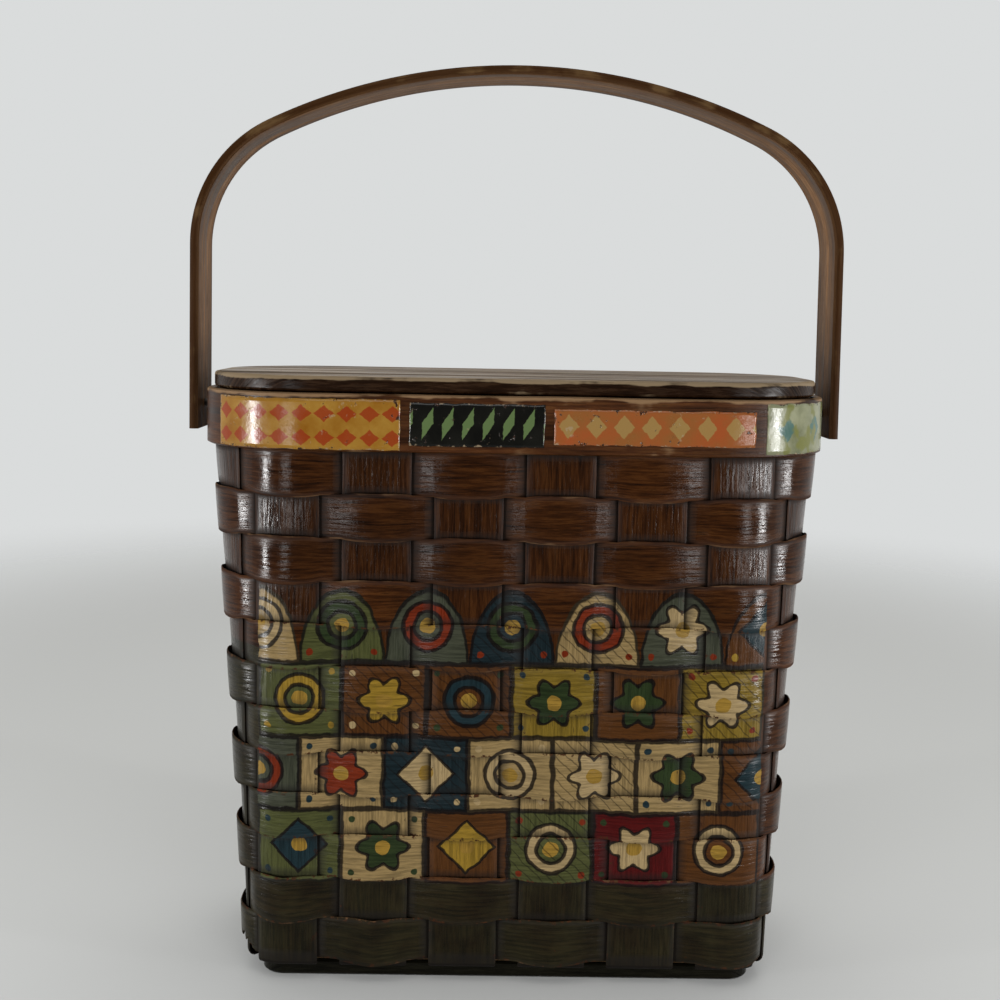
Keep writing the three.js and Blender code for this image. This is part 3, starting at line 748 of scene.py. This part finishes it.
def make_lid(material):
    """A board with rounded edges, let in for the two hinge leaves."""
    low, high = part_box("lid")
    line = Outline(high[0], high[1], LID_CORNER)
    layers = lid_layers(low[2], high[2])
    points, edge = [], []
    for inset, z, wear in layers:
        for k in range(LID_STEPS):
            x, y, nx, ny = line.at(-2 * line.quarter + 4 * line.quarter * k / LID_STEPS)
            points.append(Vector((x - nx * inset, y - ny * inset, z)))
            edge.append(wear)
    faces = ring_faces(len(layers), LID_STEPS)
    obj = new_piece("lid_plank", Role("lid", "lid", "lid_wood"), points, faces, edge, material)
    for side in SIDES:
        leaf_low, leaf_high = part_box(f"hinge_lid_leaf_{side}")
        x0, x1 = leaf_low[0] - LEAF_CLEARANCE, leaf_high[0] + LEAF_CLEARANCE
        y0, y1 = leaf_low[1] - LEAF_CLEARANCE, leaf_high[1] + LEAF_CLEARANCE
        heights = (low[2] - CUT_MARGIN, low[2] + LEAF_RECESS)
        cut(obj, [[(x0, y0, z), (x1, y0, z), (x1, y1, z), (x0, y1, z)] for z in heights])


def make_label(label, material):
    """A glued paper strip on the front of the rim, with torn edges."""
    start, stop = label.ends
    low, high = RIM_BOTTOM + label.bare[0], RIM_TOP - label.bare[1]
    points, edge, uv = [], [], []
    for c in range(LABEL_COLUMNS + 1):
        for r in range(LABEL_ROWS + 1):
            a, b = c / LABEL_COLUMNS, r / LABEL_ROWS
            s = start + (stop - start) * a
            z = low + (high - low) * b
            tear = Vector((s * TEAR_SCALE, z * TEAR_SCALE, 10.8))
            fringe = max(abs(2 * a - 1) ** 18, abs(2 * b - 1) ** 6)
            s += TEAR_DEPTH * noise.noise(tear) * fringe
            z += TEAR_DEPTH * noise.noise(tear + Vector((5, 9, 1))) * fringe
            x, y, nx, ny = rim_line.at(s)
            out = LABEL_LIFT + LABEL_CURL * max(noise.noise(tear * 0.4), 0) * fringe
            points.append(Vector((x + nx * out, y + ny * out, z)))
            edge.append(fringe)
            uv.append((s - start, z - low))
    faces = []
    for c in range(LABEL_COLUMNS):
        for r in range(LABEL_ROWS):
            a = c * (LABEL_ROWS + 1) + r
            faces.append((a, a + LABEL_ROWS + 1, a + LABEL_ROWS + 2, a + 1))
    obj = new_piece(label.name, Role(None, "body", "hoop"), points, faces, edge, material)
    lay_uv(obj.data, uv)
    paper = obj.modifiers.new("paper", "SOLIDIFY")
    paper.thickness = LABEL_THICKNESS
    paper.offset = -1


# Materials, all procedural


class Shader:
    """Nodes of a material or a world, built by short calls that pass sockets along."""

    def __init__(self, owner):
        owner.use_nodes = True
        self.owner = owner
        self.tree = owner.node_tree
        self.tree.nodes.clear()

    def node(self, kind, inputs, output=0, **settings):
        """Adds a node. Its inputs are sockets to link or values to set."""
        made = self.tree.nodes.new(kind)
        for key, value in settings.items():
            setattr(made, key, value)
        for key, value in inputs.items():
            socket = made.inputs[key]
            if isinstance(value, bpy.types.NodeSocket):
                self.tree.links.new(value, socket)
            elif socket.type == "RGBA":
                socket.default_value = (*value, 1)
            else:
                socket.default_value = value
        return made.outputs[output]

    def math(self, operation, a, b=0):
        return self.node("ShaderNodeMath", {0: a, 1: b}, operation=operation)

    plus = partialmethod(math, "ADD")
    minus = partialmethod(math, "SUBTRACT")
    over = partialmethod(math, "DIVIDE")
    less = partialmethod(math, "LESS_THAN")
    more = partialmethod(math, "GREATER_THAN")
    largest = partialmethod(math, "MAXIMUM")
    smallest = partialmethod(math, "MINIMUM")
    size = partialmethod(math, "ABSOLUTE")
    whole = partialmethod(math, "FLOOR")
    part = partialmethod(math, "FRACT")

    def times(self, *factors):
        product = factors[0]
        for factor in factors[1:]:
            product = self.math("MULTIPLY", product, factor)
        return product

    def add(self, total, *parts):
        """A socket plus others, each times its weight."""
        for socket, weight in parts:
            total = self.plus(total, self.times(socket, weight))
        return total

    def about_half(self, value):
        """How far a value lies from a half, the mean of noise."""
        return self.minus(value, 0.5)

    def reach(self, x, y):
        """Distance of a point from the middle."""
        return self.math("SQRT", self.plus(self.times(x, x), self.times(y, y)))

    def smoothstep(self, value, span, to=(0, 1)):
        """A smooth change from the first number of to, at the start of span, to its second at the end."""
        inputs = {"Value": value, "From Min": span[0], "From Max": span[1], "To Min": to[0], "To Max": to[1]}
        return self.node("ShaderNodeMapRange", inputs, interpolation_type="SMOOTHSTEP")

    def vector(self, x, y, z):
        return self.node("ShaderNodeCombineXYZ", {0: x, 1: y, 2: z})

    def split(self, vector):
        made = self.tree.nodes.new("ShaderNodeSeparateXYZ")
        self.tree.links.new(vector, made.inputs[0])
        return made.outputs

    def noise(self, place, scale, detail=4, roughness=0.55, distortion=0):
        inputs = {"Vector": place, "Scale": scale, "Detail": detail, "Roughness": roughness}
        return self.node("ShaderNodeTexNoise", {**inputs, "Distortion": distortion})

    def streaks(self, along, across, counts, seed, **settings):
        """Noise drawn out along the grain, with its counts per metre along and across."""
        place = self.vector(self.times(along, counts[0]), self.times(across, counts[1]), seed)
        return self.noise(place, scale=1, **settings)

    def mix(self, amount, a, b, blend="MIX"):
        settings = {"data_type": "RGBA", "blend_type": blend, "clamp_factor": True}
        return self.node("ShaderNodeMix", {0: amount, 6: a, 7: b}, output=2, **settings)

    def tint(self, colour, amount, stops):
        """A colour times the one that stops give for an amount."""
        return self.mix(1, colour, self.ramp(amount, stops), "MULTIPLY")

    def ramp(self, amount, stops, interpolation="LINEAR"):
        made = self.tree.nodes.new("ShaderNodeValToRGB")
        made.color_ramp.interpolation = interpolation
        elements = made.color_ramp.elements
        while len(elements) < len(stops):
            elements.new(1)
        for element, (place, colour) in zip(elements, stops):
            element.position = place
            element.color = (*colour, 1)
        self.tree.links.new(amount, made.inputs[0])
        return made.outputs[0]

    def attribute(self, name):
        return self.node("ShaderNodeAttribute", {}, output="Fac", attribute_name=name)

    def grain_place(self):
        return self.split(self.node("ShaderNodeUVMap", {}, uv_map=GRAIN_MAP))

    def place(self):
        return self.node("ShaderNodeTexCoord", {}, output="Object")

    def normal(self):
        return self.split(self.node("ShaderNodeTexCoord", {}, output="Normal"))

    def show(self, surface, kind):
        out = self.tree.nodes.new(kind)
        self.tree.links.new(surface, out.inputs["Surface"])

    def finish(self, colour, roughness, height, bump, distance, gloss=0.5, **more):
        """Ends a material. The height's bumps are distance metres deep, and gloss is its specular level."""
        relief = {"Strength": bump, "Distance": distance, "Height": height}
        inputs = {"Base Color": colour, "Roughness": roughness, "Specular IOR Level": gloss, **more}
        inputs["Normal"] = self.node("ShaderNodeBump", relief)
        self.show(self.node("ShaderNodeBsdfPrincipled", inputs), "ShaderNodeOutputMaterial")
        return self.owner


def new_shader(name):
    return Shader(bpy.data.materials.new(name))


def fibres(sh, along, across, seed):
    """Long wood fibres: fine lines and broad streaks, both 0 to 1 round a half."""
    fine = sh.streaks(along, across, FINE_FIBRES, seed, detail=5, roughness=0.7)
    broad = sh.streaks(along, across, BROAD_FIBRES, seed, detail=3, distortion=0.5)
    return fine, broad


def wood_colour(sh, fine, broad, wood):
    """A wood's body with its bright fibres and dark pores."""
    figure = sh.add(sh.times(fine, FINE_SHARE), (broad, 1 - FINE_SHARE))
    colour = sh.ramp(figure, list(zip((0.36, 0.5, 0.64), (wood.dark, wood.middle, wood.light))))
    pores = sh.smoothstep(fine, (0.58, 0.66), (0, 0.7))
    return sh.mix(pores, colour, [c * 0.3 for c in wood.dark])


def worn_edge(sh, fine, strength, start):
    """How far the finish is rubbed off: along edges, in uneven runs."""
    runs = sh.noise(sh.place(), scale=55, detail=3)
    rub = sh.add(sh.attribute("edge"), (sh.about_half(runs), 2.4), (sh.about_half(fine), 0.8))
    return sh.smoothstep(rub, (start, start + 0.45), (0, strength))


def splint_material():
    """Dark stained splint with a painted front, darkened by painted shade where the splints cross."""
    sh = new_shader("painted_splint")
    u, v, _ = sh.grain_place()
    place = sh.place()
    tone = sh.attribute("tone")
    edge = sh.attribute("edge")
    crossing_shade = sh.attribute("crossing_shade")
    fine, broad = fibres(sh, u, v, sh.times(tone, 30))
    colour = wood_colour(sh, fine, broad, SPLINT_WOOD)
    patches = sh.noise(place, scale=24, detail=2)
    colour = sh.tint(colour, sh.add(sh.times(tone, 0.45), (patches, 0.75)), SPLINT_TINTS)
    rub = worn_edge(sh, fine, strength=0.6, start=0.95)
    colour = sh.mix(rub, colour, SPLINT_WOOD.worn)
    colour, cover = painted(sh, colour, fine)
    # Painted shade where the splints cross and dive behind each other
    colour = sh.mix(sh.times(crossing_shade, 0.9), colour, CROSSING_SHADE_COLOUR)
    roughness = sh.add(
        sh.smoothstep(fine, MOST_NOISE, (0.11, 0.21)),
        (rub, 0.2), (cover, 0.06), (sh.largest(crossing_shade, edge), 0.7),
    )
    ridges = sh.streaks(u, v, RIDGE_FIBRES, tone, detail=3, roughness=0.45)
    dents = sh.noise(place, scale=170, detail=3)
    height = sh.add(ridges, (fine, 0.3), (dents, 0.6))
    return sh.finish(colour, roughness, height, bump=1, distance=0.00024, gloss=0.18)


# The paint on the front of the weave


class Patch(NamedTuple):
    """A point in the patchwork: its place from its patch's middle, its rise in rows, and its patch."""

    x: object
    z: object
    rise: object
    row: object
    column: object


def patch_at(sh, x, z):
    """The patch at a place on the front. Every other row is shifted by half a patch."""
    rise = sh.over(sh.minus(z, PICTURE_LOW), PATCH_HEIGHT)
    row = sh.whole(rise)
    run = sh.plus(sh.over(x, PATCH_WIDTH), sh.part(sh.times(row, 0.5)))
    local_x = sh.times(sh.about_half(sh.part(run)), PATCH_WIDTH)
    local_z = sh.times(sh.about_half(sh.part(rise)), PATCH_HEIGHT)
    return Patch(local_x, local_z, rise, row, sh.whole(run))


def chance(sh, patch, feature):
    """A number from 0 to 1 that a patch draws for one of its features."""
    return sh.node("ShaderNodeTexWhiteNoise", {0: sh.vector(patch.column, patch.row, PATCH_SEEDS[feature])})


def pick(sh, patch, feature, colours):
    return sh.ramp(chance(sh, patch, feature), colours, "CONSTANT")


def motif_depth(sh, patch, radius):
    """Distance inside the outline of a patch's flower, ring or lozenge, below 0 outside it."""
    petals = sh.math("COSINE", sh.times(sh.math("ARCTAN2", patch.z, patch.x), PETAL_COUNT))
    flower = sh.minus(sh.plus(sh.times(petals, PETAL_DEPTH), FLOWER_RADIUS), radius)
    ring = sh.minus(RING_HALF, sh.size(sh.minus(radius, RING_RADIUS)))
    lozenge = sh.minus(LOZENGE_HALF, sh.plus(sh.size(patch.x), sh.size(patch.z)))
    kind = chance(sh, patch, "kind")
    is_flower = sh.less(kind, FLOWER_LIMIT)
    is_ring = sh.times(sh.more(kind, FLOWER_LIMIT), sh.less(kind, RING_LIMIT))
    is_lozenge = sh.more(kind, RING_LIMIT)
    return sh.add(sh.times(is_flower, flower), (is_ring, ring), (is_lozenge, lozenge))


def border_depth(sh, patch):
    """Distance inside a patch's border, below 0 outside it. The patches of the top row are arches."""
    from_side = sh.minus(PATCH_WIDTH / 2, sh.size(patch.x))
    from_end = sh.minus(PATCH_HEIGHT / 2, sh.size(patch.z))
    arch = sh.reach(sh.over(patch.x, PATCH_WIDTH / 2), sh.part(patch.rise))
    from_arch = sh.times(sh.minus(1, arch), PATCH_WIDTH / 2)
    lower_row = sh.less(patch.row, PATCH_ROWS - 1.5)
    return sh.smallest(sh.smallest(from_side, from_end), sh.plus(from_arch, lower_row))


def patch_paint(sh, patch, border):
    """A patch's colours: its ground, a motif with an eye, corner dots, hatching and ink lines."""
    radius = sh.reach(patch.x, patch.z)
    motif = motif_depth(sh, patch, radius)
    ground = pick(sh, patch, "ground", PATCH_COLOURS)
    colour = sh.mix(sh.smoothstep(motif, (-0.0002, 0.0002)), ground, pick(sh, patch, "motif", MOTIF_COLOURS))
    colour = sh.mix(sh.less(radius, EYE_RADIUS), colour, PAINT_EYE)
    from_dot = [sh.minus(sh.size(local), dot) for local, dot in zip((patch.x, patch.z), DOT_PLACE)]
    dots = sh.smoothstep(sh.reach(*from_dot), (0.0012, 0.0015), (1, 0))
    dots = sh.times(dots, sh.more(chance(sh, patch, "dots"), DOT_LIMIT))
    colour = sh.mix(dots, colour, pick(sh, patch, "dot_colour", MOTIF_COLOURS))
    outline = sh.smoothstep(sh.size(motif), (0.0006, 0.001), (1, 0))
    border_line = sh.smoothstep(border, (0.0008, 0.0014), (1, 0))
    stroke = sh.about_half(sh.part(sh.over(sh.plus(patch.x, patch.z), HATCH_PITCH)))
    hatch = sh.smoothstep(sh.size(stroke), (0.05, 0.1), (0.6, 0))
    hatch = sh.times(hatch, sh.more(chance(sh, patch, "hatch"), HATCH_LIMIT), sh.less(motif, 0))
    line = sh.largest(sh.largest(outline, border_line), hatch)
    return sh.mix(sh.times(line, 0.92), colour, PAINT_LINE)


def paint_masks(sh, patch, border, x, y, z):
    """Where the picture and the ground paint lie: on faces that point outwards, never inside the basket."""
    normal_x, normal_y, _ = sh.normal()
    front_half = sh.less(y, 0)
    front = sh.times(sh.smoothstep(normal_y, (-0.35, -0.15), (1, 0)), front_half)
    between_ends = sh.times(sh.more(x, -PICTURE_HALF), sh.less(x, PICTURE_HALF))
    above_ground = sh.more(patch.row, -0.5)
    below_top = sh.less(patch.row, PATCH_ROWS - 0.5)
    picture = sh.times(front, between_ends, above_ground, below_top, sh.more(border, 0))

    forward = sh.times(normal_y, -1, front_half)
    sideways = sh.times(normal_x, sh.math("SIGN", x))
    outward = sh.smoothstep(sh.add(forward, (sideways, 0.7)), (0.2, 0.4))
    left_side = sh.times(sh.less(x, -PICTURE_HALF), sh.less(z, GREEN_SIDE_TOP))
    ground = sh.times(outward, sh.largest(sh.minus(1, above_ground), left_side))
    return picture, ground


def painted(sh, wood, fine):
    """Paint over the wood's colour, brushed along its fibres and chipped. Gives the colour and the cover."""
    place = sh.place()
    x, y, z = sh.split(place)
    x = sh.add(x, (sh.about_half(sh.noise(place, scale=160, detail=2)), PAINT_WOBBLE))
    z = sh.add(z, (sh.about_half(sh.noise(place, scale=190, detail=2)), PAINT_WOBBLE))
    patch = patch_at(sh, x, z)
    border = border_depth(sh, patch)
    shade = sh.smoothstep(fine, MOST_NOISE, (0.45, 1.05))
    brushed = sh.vector(shade, shade, shade)
    paint = sh.mix(1, patch_paint(sh, patch, border), brushed, "MULTIPLY")
    paint = sh.mix(sh.smoothstep(fine, (0.6, 0.68), (0, 0.7)), paint, PAINT_LINE)
    green = sh.ramp(sh.noise(place, scale=70, detail=3), GREEN_STOPS)
    green = sh.mix(1, green, brushed, "MULTIPLY")
    chips = sh.noise(place, scale=420, detail=3, roughness=0.7)
    kept = sh.smoothstep(sh.add(chips, (sh.attribute("edge"), 0.22)), (0.7, 0.8), (1, 0))
    picture, ground = paint_masks(sh, patch, border, x, y, z)
    colour = sh.mix(sh.times(ground, kept, 0.86), wood, green)
    colour = sh.mix(sh.times(picture, kept, 0.95), colour, paint)
    return colour, sh.times(sh.largest(picture, ground), kept)


# The other materials


def bent_wood_material(name, wood, wear, wear_start, edge_shade, gloss, roughness):
    """Streaky bent wood, its edges darkened by edge_shade and rubbed."""
    sh = new_shader(name)
    u, v, _ = sh.grain_place()
    fine, broad = fibres(sh, u, v, 3)
    streaks = sh.streaks(u, v, BENT_STREAKS, 5, detail=4, roughness=0.6)
    colour = sh.tint(wood_colour(sh, fine, broad, wood), streaks, BENT_TINTS)
    colour = sh.mix(sh.times(sh.attribute("edge"), edge_shade), colour, wood.dark)
    rub = worn_edge(sh, fine, wear, wear_start)
    colour = sh.mix(rub, colour, wood.worn)
    dullness = sh.add(sh.smoothstep(streaks, MOST_NOISE, roughness), (rub, 0.22))
    height = sh.add(sh.times(fine, 0.6), (broad, 0.5))
    return sh.finish(colour, dullness, height, bump=0.8, distance=0.0003, gloss=gloss)


def plank_material(name, wood, wear=0, chips=0, gloss=0.17, top=None):
    """A flat board with its grain along X. top is the wood of a worn upper face, lightened with painted
    sheen.
    """
    sh = new_shader(name)
    place = sh.place()
    x, y, z = sh.split(place)
    bend = sh.noise(place, scale=9, detail=2)
    fine, broad = fibres(sh, x, sh.add(y, (bend, 0.004), (z, 0.7)), 8)
    colour = wood_colour(sh, fine, broad, wood)
    roughness = sh.smoothstep(fine, MOST_NOISE, (0.18, 0.34))
    if top:
        # Upward faces take the top's lighter wood: worn finish with painted sheen
        top_wear_and_sheen = sh.smoothstep(sh.normal()["Z"], (0.6, 0.9))
        bands = sh.streaks(x, y, TOP_STREAKS, 2, detail=3)
        colour = sh.mix(top_wear_and_sheen, colour, sh.tint(wood_colour(sh, fine, broad, top), bands, TOP_TINTS))
        roughness = sh.add(roughness, (top_wear_and_sheen, sh.smoothstep(bands, (0.4, 0.6), (0.58, 0.09))))
    colour = sh.tint(colour, sh.noise(place, scale=16, detail=3), PLANK_TINTS)
    if wear:
        rub = worn_edge(sh, fine, wear, start=0.45)
        colour = sh.mix(rub, colour, wood.worn)
        roughness = sh.add(roughness, (rub, 0.2))
    if chips:
        flakes = sh.noise(place, scale=210, detail=4, roughness=0.7)
        colour = sh.mix(sh.smoothstep(flakes, (0.7, 0.76), (0, chips)), colour, CHIP_COLOUR)
    height = sh.add(sh.times(fine, 0.6), (broad, 0.5))
    return sh.finish(colour, roughness, height, bump=0.45, distance=0.0004, gloss=gloss)


def metal_material(name, colour, tarnish, roughness, metallic=1):
    """Handled metal with blotches of tarnish and fine scratches."""
    sh = new_shader(name)
    place = sh.place()
    blotch = sh.noise(place, scale=260, detail=4, roughness=0.65)
    scratch = sh.noise(place, scale=2200, detail=2)
    shade = sh.mix(sh.smoothstep(blotch, (0.42, 0.68)), colour, tarnish)
    dullness = sh.add(sh.smoothstep(blotch, MOST_NOISE, roughness), (scratch, 0.08))
    height = sh.add(blotch, (scratch, 0.5))
    return sh.finish(shade, dullness, height, bump=0.12, distance=0.0002, Metallic=metallic)


def label_material(label):
    """Rows of plain lozenges printed on stained paper, scuffed, torn and flaking."""
    sh = new_shader(f"paper_{label.name}")
    u, v, _ = sh.grain_place()
    place = sh.place()
    edge = sh.attribute("edge")
    blur = sh.noise(place, scale=520, detail=3)
    stain = sh.noise(place, scale=75, detail=4, roughness=0.6)
    scuffs = sh.noise(place, scale=170, detail=4, roughness=0.7)
    printed = sh.ramp(stain, list(zip((0.32, 0.66), label.paper)))
    cells = [sh.over(run, pitch) for run, pitch in zip((sh.add(u, (v, label.lean)), v), label.pitch)]
    shares = [sh.over(sh.size(sh.about_half(sh.part(cell))), mark) for cell, mark in zip(cells, label.mark)]
    reach = sh.add(sh.plus(*shares), (sh.about_half(blur), 0.5))
    printed = sh.mix(sh.smoothstep(reach, (0.92, 1.02), (0.9, 0)), printed, label.ink)
    if label.spot:
        blotches = sh.smoothstep(sh.noise(place, scale=95, detail=2), (0.55, 0.62))
        printed = sh.mix(blotches, printed, label.spot)
    fringe = sh.add(edge, (sh.about_half(blur), 2.2))
    printed = sh.mix(sh.smoothstep(fringe, (1, 1.25), (0, 0.7)), printed, TORN_PAPER)
    printed = sh.mix(sh.smoothstep(scuffs, (0.64, 0.7), (0, 0.55)), printed, TORN_PAPER)
    flakes = sh.noise(place, scale=300, detail=4, roughness=0.72)
    bare = sh.smoothstep(sh.add(flakes, (edge, 0.1)), (0.66, 0.72))
    colour = sh.mix(bare, printed, LABEL_BARE)
    roughness = sh.smoothstep(stain, MOST_NOISE, (0.15, 0.28))
    height = sh.add(sh.minus(1, bare), (sh.plus(blur, scuffs), 0.35))
    return sh.finish(colour, roughness, height, bump=0.6, distance=0.0003, gloss=0.32)


def dress(nodes, material, bevel=0):
    """Gives carried-over CAD nodes their material, and softens their edges."""
    for node in nodes:
        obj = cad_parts[node]
        obj.data.materials.clear()
        obj.data.materials.append(material)
        if bevel:
            softened = obj.modifiers.new("soft_edges", "BEVEL")
            softened.width = bevel
            softened.segments = 2
            softened.limit_method = "ANGLE"
            softened.angle_limit = SMOOTH_ANGLE


# The object


splint = splint_material()
for row in range(WEAVER_ROWS):
    make_weaver(row, splint)
for index in range(STAKE_COUNT):
    make_stake(index, splint)

rim_wood = bent_wood_material(
    "rim_wood", RIM_WOOD, wear=0.9, wear_start=0.38, edge_shade=0, gloss=0.15, roughness=(0.28, 0.44)
)
make_hoop("outer_rim_hoop", rim_line, OUTER_HOOP_THICKNESS, 0, rim_wood)
inner_half_width, inner_half_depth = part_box("inner_rim_hoop")[1][:2]
inner_corner = RIM_CORNER - (RIM_HALF_WIDTH - inner_half_width)
inner_line = Outline(inner_half_width, inner_half_depth, inner_corner)
make_hoop("inner_rim_hoop", inner_line, INNER_HOOP_THICKNESS, INNER_BUTT_SHIFT, rim_wood)

# Painted sheen: the handle's wood is lightened for its broad faces, and edge_shade keeps its narrow edges
# dark
handle_wood = bent_wood_material(
    "handle_wood", HANDLE_WOOD_AND_SHEEN, wear=0.45, wear_start=1, edge_shade=0.94, gloss=0.05, roughness=(0.36, 0.68)
)
make_handle(handle_wood)
make_lid(plank_material("lid_wood", LID_WOOD, wear=0.75, chips=0.8, gloss=0.12, top=LID_TOP_WOOD_AND_SHEEN))
dress(["base_board"], plank_material("base_wood", BASE_WOOD, chips=0.15, gloss=0.1), bevel=0.0008)
dress(["floor_panel"], plank_material("panel_wood", PANEL_WOOD), bevel=0.0005)

brass = metal_material("aged_brass", (0.55, 0.36, 0.12), (0.16, 0.09, 0.035), (0.24, 0.5))
steel = metal_material("bright_steel", (0.58, 0.56, 0.52), (0.22, 0.2, 0.17), (0.2, 0.42))
dark_steel = metal_material("dark_steel", (0.1, 0.092, 0.085), (0.035, 0.028, 0.023), (0.3, 0.5))
black_steel = metal_material("black_washer", (0.012, 0.011, 0.01), (0.03, 0.024, 0.02), (0.38, 0.6), 0.6)
for side in SIDES:
    dress([f"hinge_rim_leaf_{side}", f"hinge_lid_leaf_{side}"], brass, bevel=0.0001)
    dress([f"hinge_pin_{side}", f"pivot_nut_{side}"], steel)
    dress([f"hinge_{leaf}_screw_{side}_{k}" for leaf in ("rim", "lid") for k in (1, 2)], brass)
    dress([f"pivot_bolt_{side}"], dark_steel)
    dress([f"pivot_washer_{side}"], black_steel, bevel=0.0002)

for label in LABELS:
    make_label(label, label_material(label))


# Floor, light and camera


def make_floor():
    """A pale round floor that fades out into the world."""
    sh = new_shader("floor_paper")
    place = sh.place()
    x, y, _ = sh.split(place)
    shown = sh.smoothstep(sh.reach(x, y), FLOOR_FADE, (1, 0))
    tooth = sh.noise(place, scale=350, detail=2)
    work = bmesh.new()
    bmesh.ops.create_circle(work, cap_ends=True, segments=96, radius=FLOOR_RADIUS)
    mesh = bpy.data.meshes.new("floor")
    work.to_mesh(mesh)
    work.free()
    material = sh.finish(FLOOR_COLOUR, 0.85, tooth, bump=0.03, distance=0.0004, gloss=0.2, Alpha=shown)
    mesh.materials.append(material)
    floor = new_object("floor", mesh)
    floor.location = FLOOR_PLACE


def light_world():
    """A plain surround, bright behind the object and dim before it."""
    sh = Shader(bpy.data.worlds.new("studio"))
    towards = sh.split(sh.node("ShaderNodeTexCoord", {}, output="Generated"))
    backwards = sh.node("ShaderNodeMapRange", {"Value": towards["Y"], "From Min": -1})
    light = sh.node("ShaderNodeBackground", {"Color": sh.ramp(backwards, WORLD_STOPS, "EASE")})
    sh.show(light, "ShaderNodeOutputWorld")
    bpy.context.scene.world = sh.owner


def softbox(name, place, size, power):
    """A rectangular lamp of a width and height in metres and a power in watts."""
    light = bpy.data.lights.new(name, "AREA")
    light.shape = "RECTANGLE"
    light.size, light.size_y = size
    light.energy = power
    obj = new_object(name, light)
    obj.location = place
    obj.rotation_euler = (LAMP_AIM - Vector(place)).to_track_quat("-Z", "Y").to_euler()


def place_camera():
    lens = bpy.data.cameras.new("photo_camera")
    lens.sensor_width = SENSOR_WIDTH
    lens.lens = FOCAL_PIXELS / FRAME_PIXELS * SENSOR_WIDTH
    lens.shift_y = CAMERA_SHIFT
    lens.clip_start = 0.01
    obj = new_object("photo_camera", lens)
    yaw = Matrix.Rotation(math.radians(-CAMERA_YAW), 4, "Z")
    pitch = Matrix.Rotation(math.radians(90 + CAMERA_PITCH), 4, "X")
    roll = Matrix.Rotation(math.radians(CAMERA_ROLL), 4, "Z")
    obj.matrix_world = Matrix.Translation(CAMERA_PLACE) @ yaw @ pitch @ roll
    bpy.context.scene.camera = obj


make_floor()
light_world()
softbox("left_strip", place=(-0.95, -0.44, 0.08), size=(0.05, 0.25), power=6)
softbox("right_strip", place=(0.95, -0.44, 0.08), size=(0.05, 0.25), power=6)
softbox("left_softbox", place=(-0.5, -0.86, 0.08), size=(0.14, 0.2), power=1)
softbox("right_softbox", place=(0.6, -0.8, 0.08), size=(0.2, 0.2), power=1.6)
softbox("front_softbox", place=(0, -0.9, 1.5), size=(0.9, 0.6), power=4.5)
softbox("top_softbox", place=(0.1, 0.7, 1.5), size=(1.2, 0.8), power=4.5)
place_camera()
bpy.context.scene.view_settings.view_transform = "Standard"
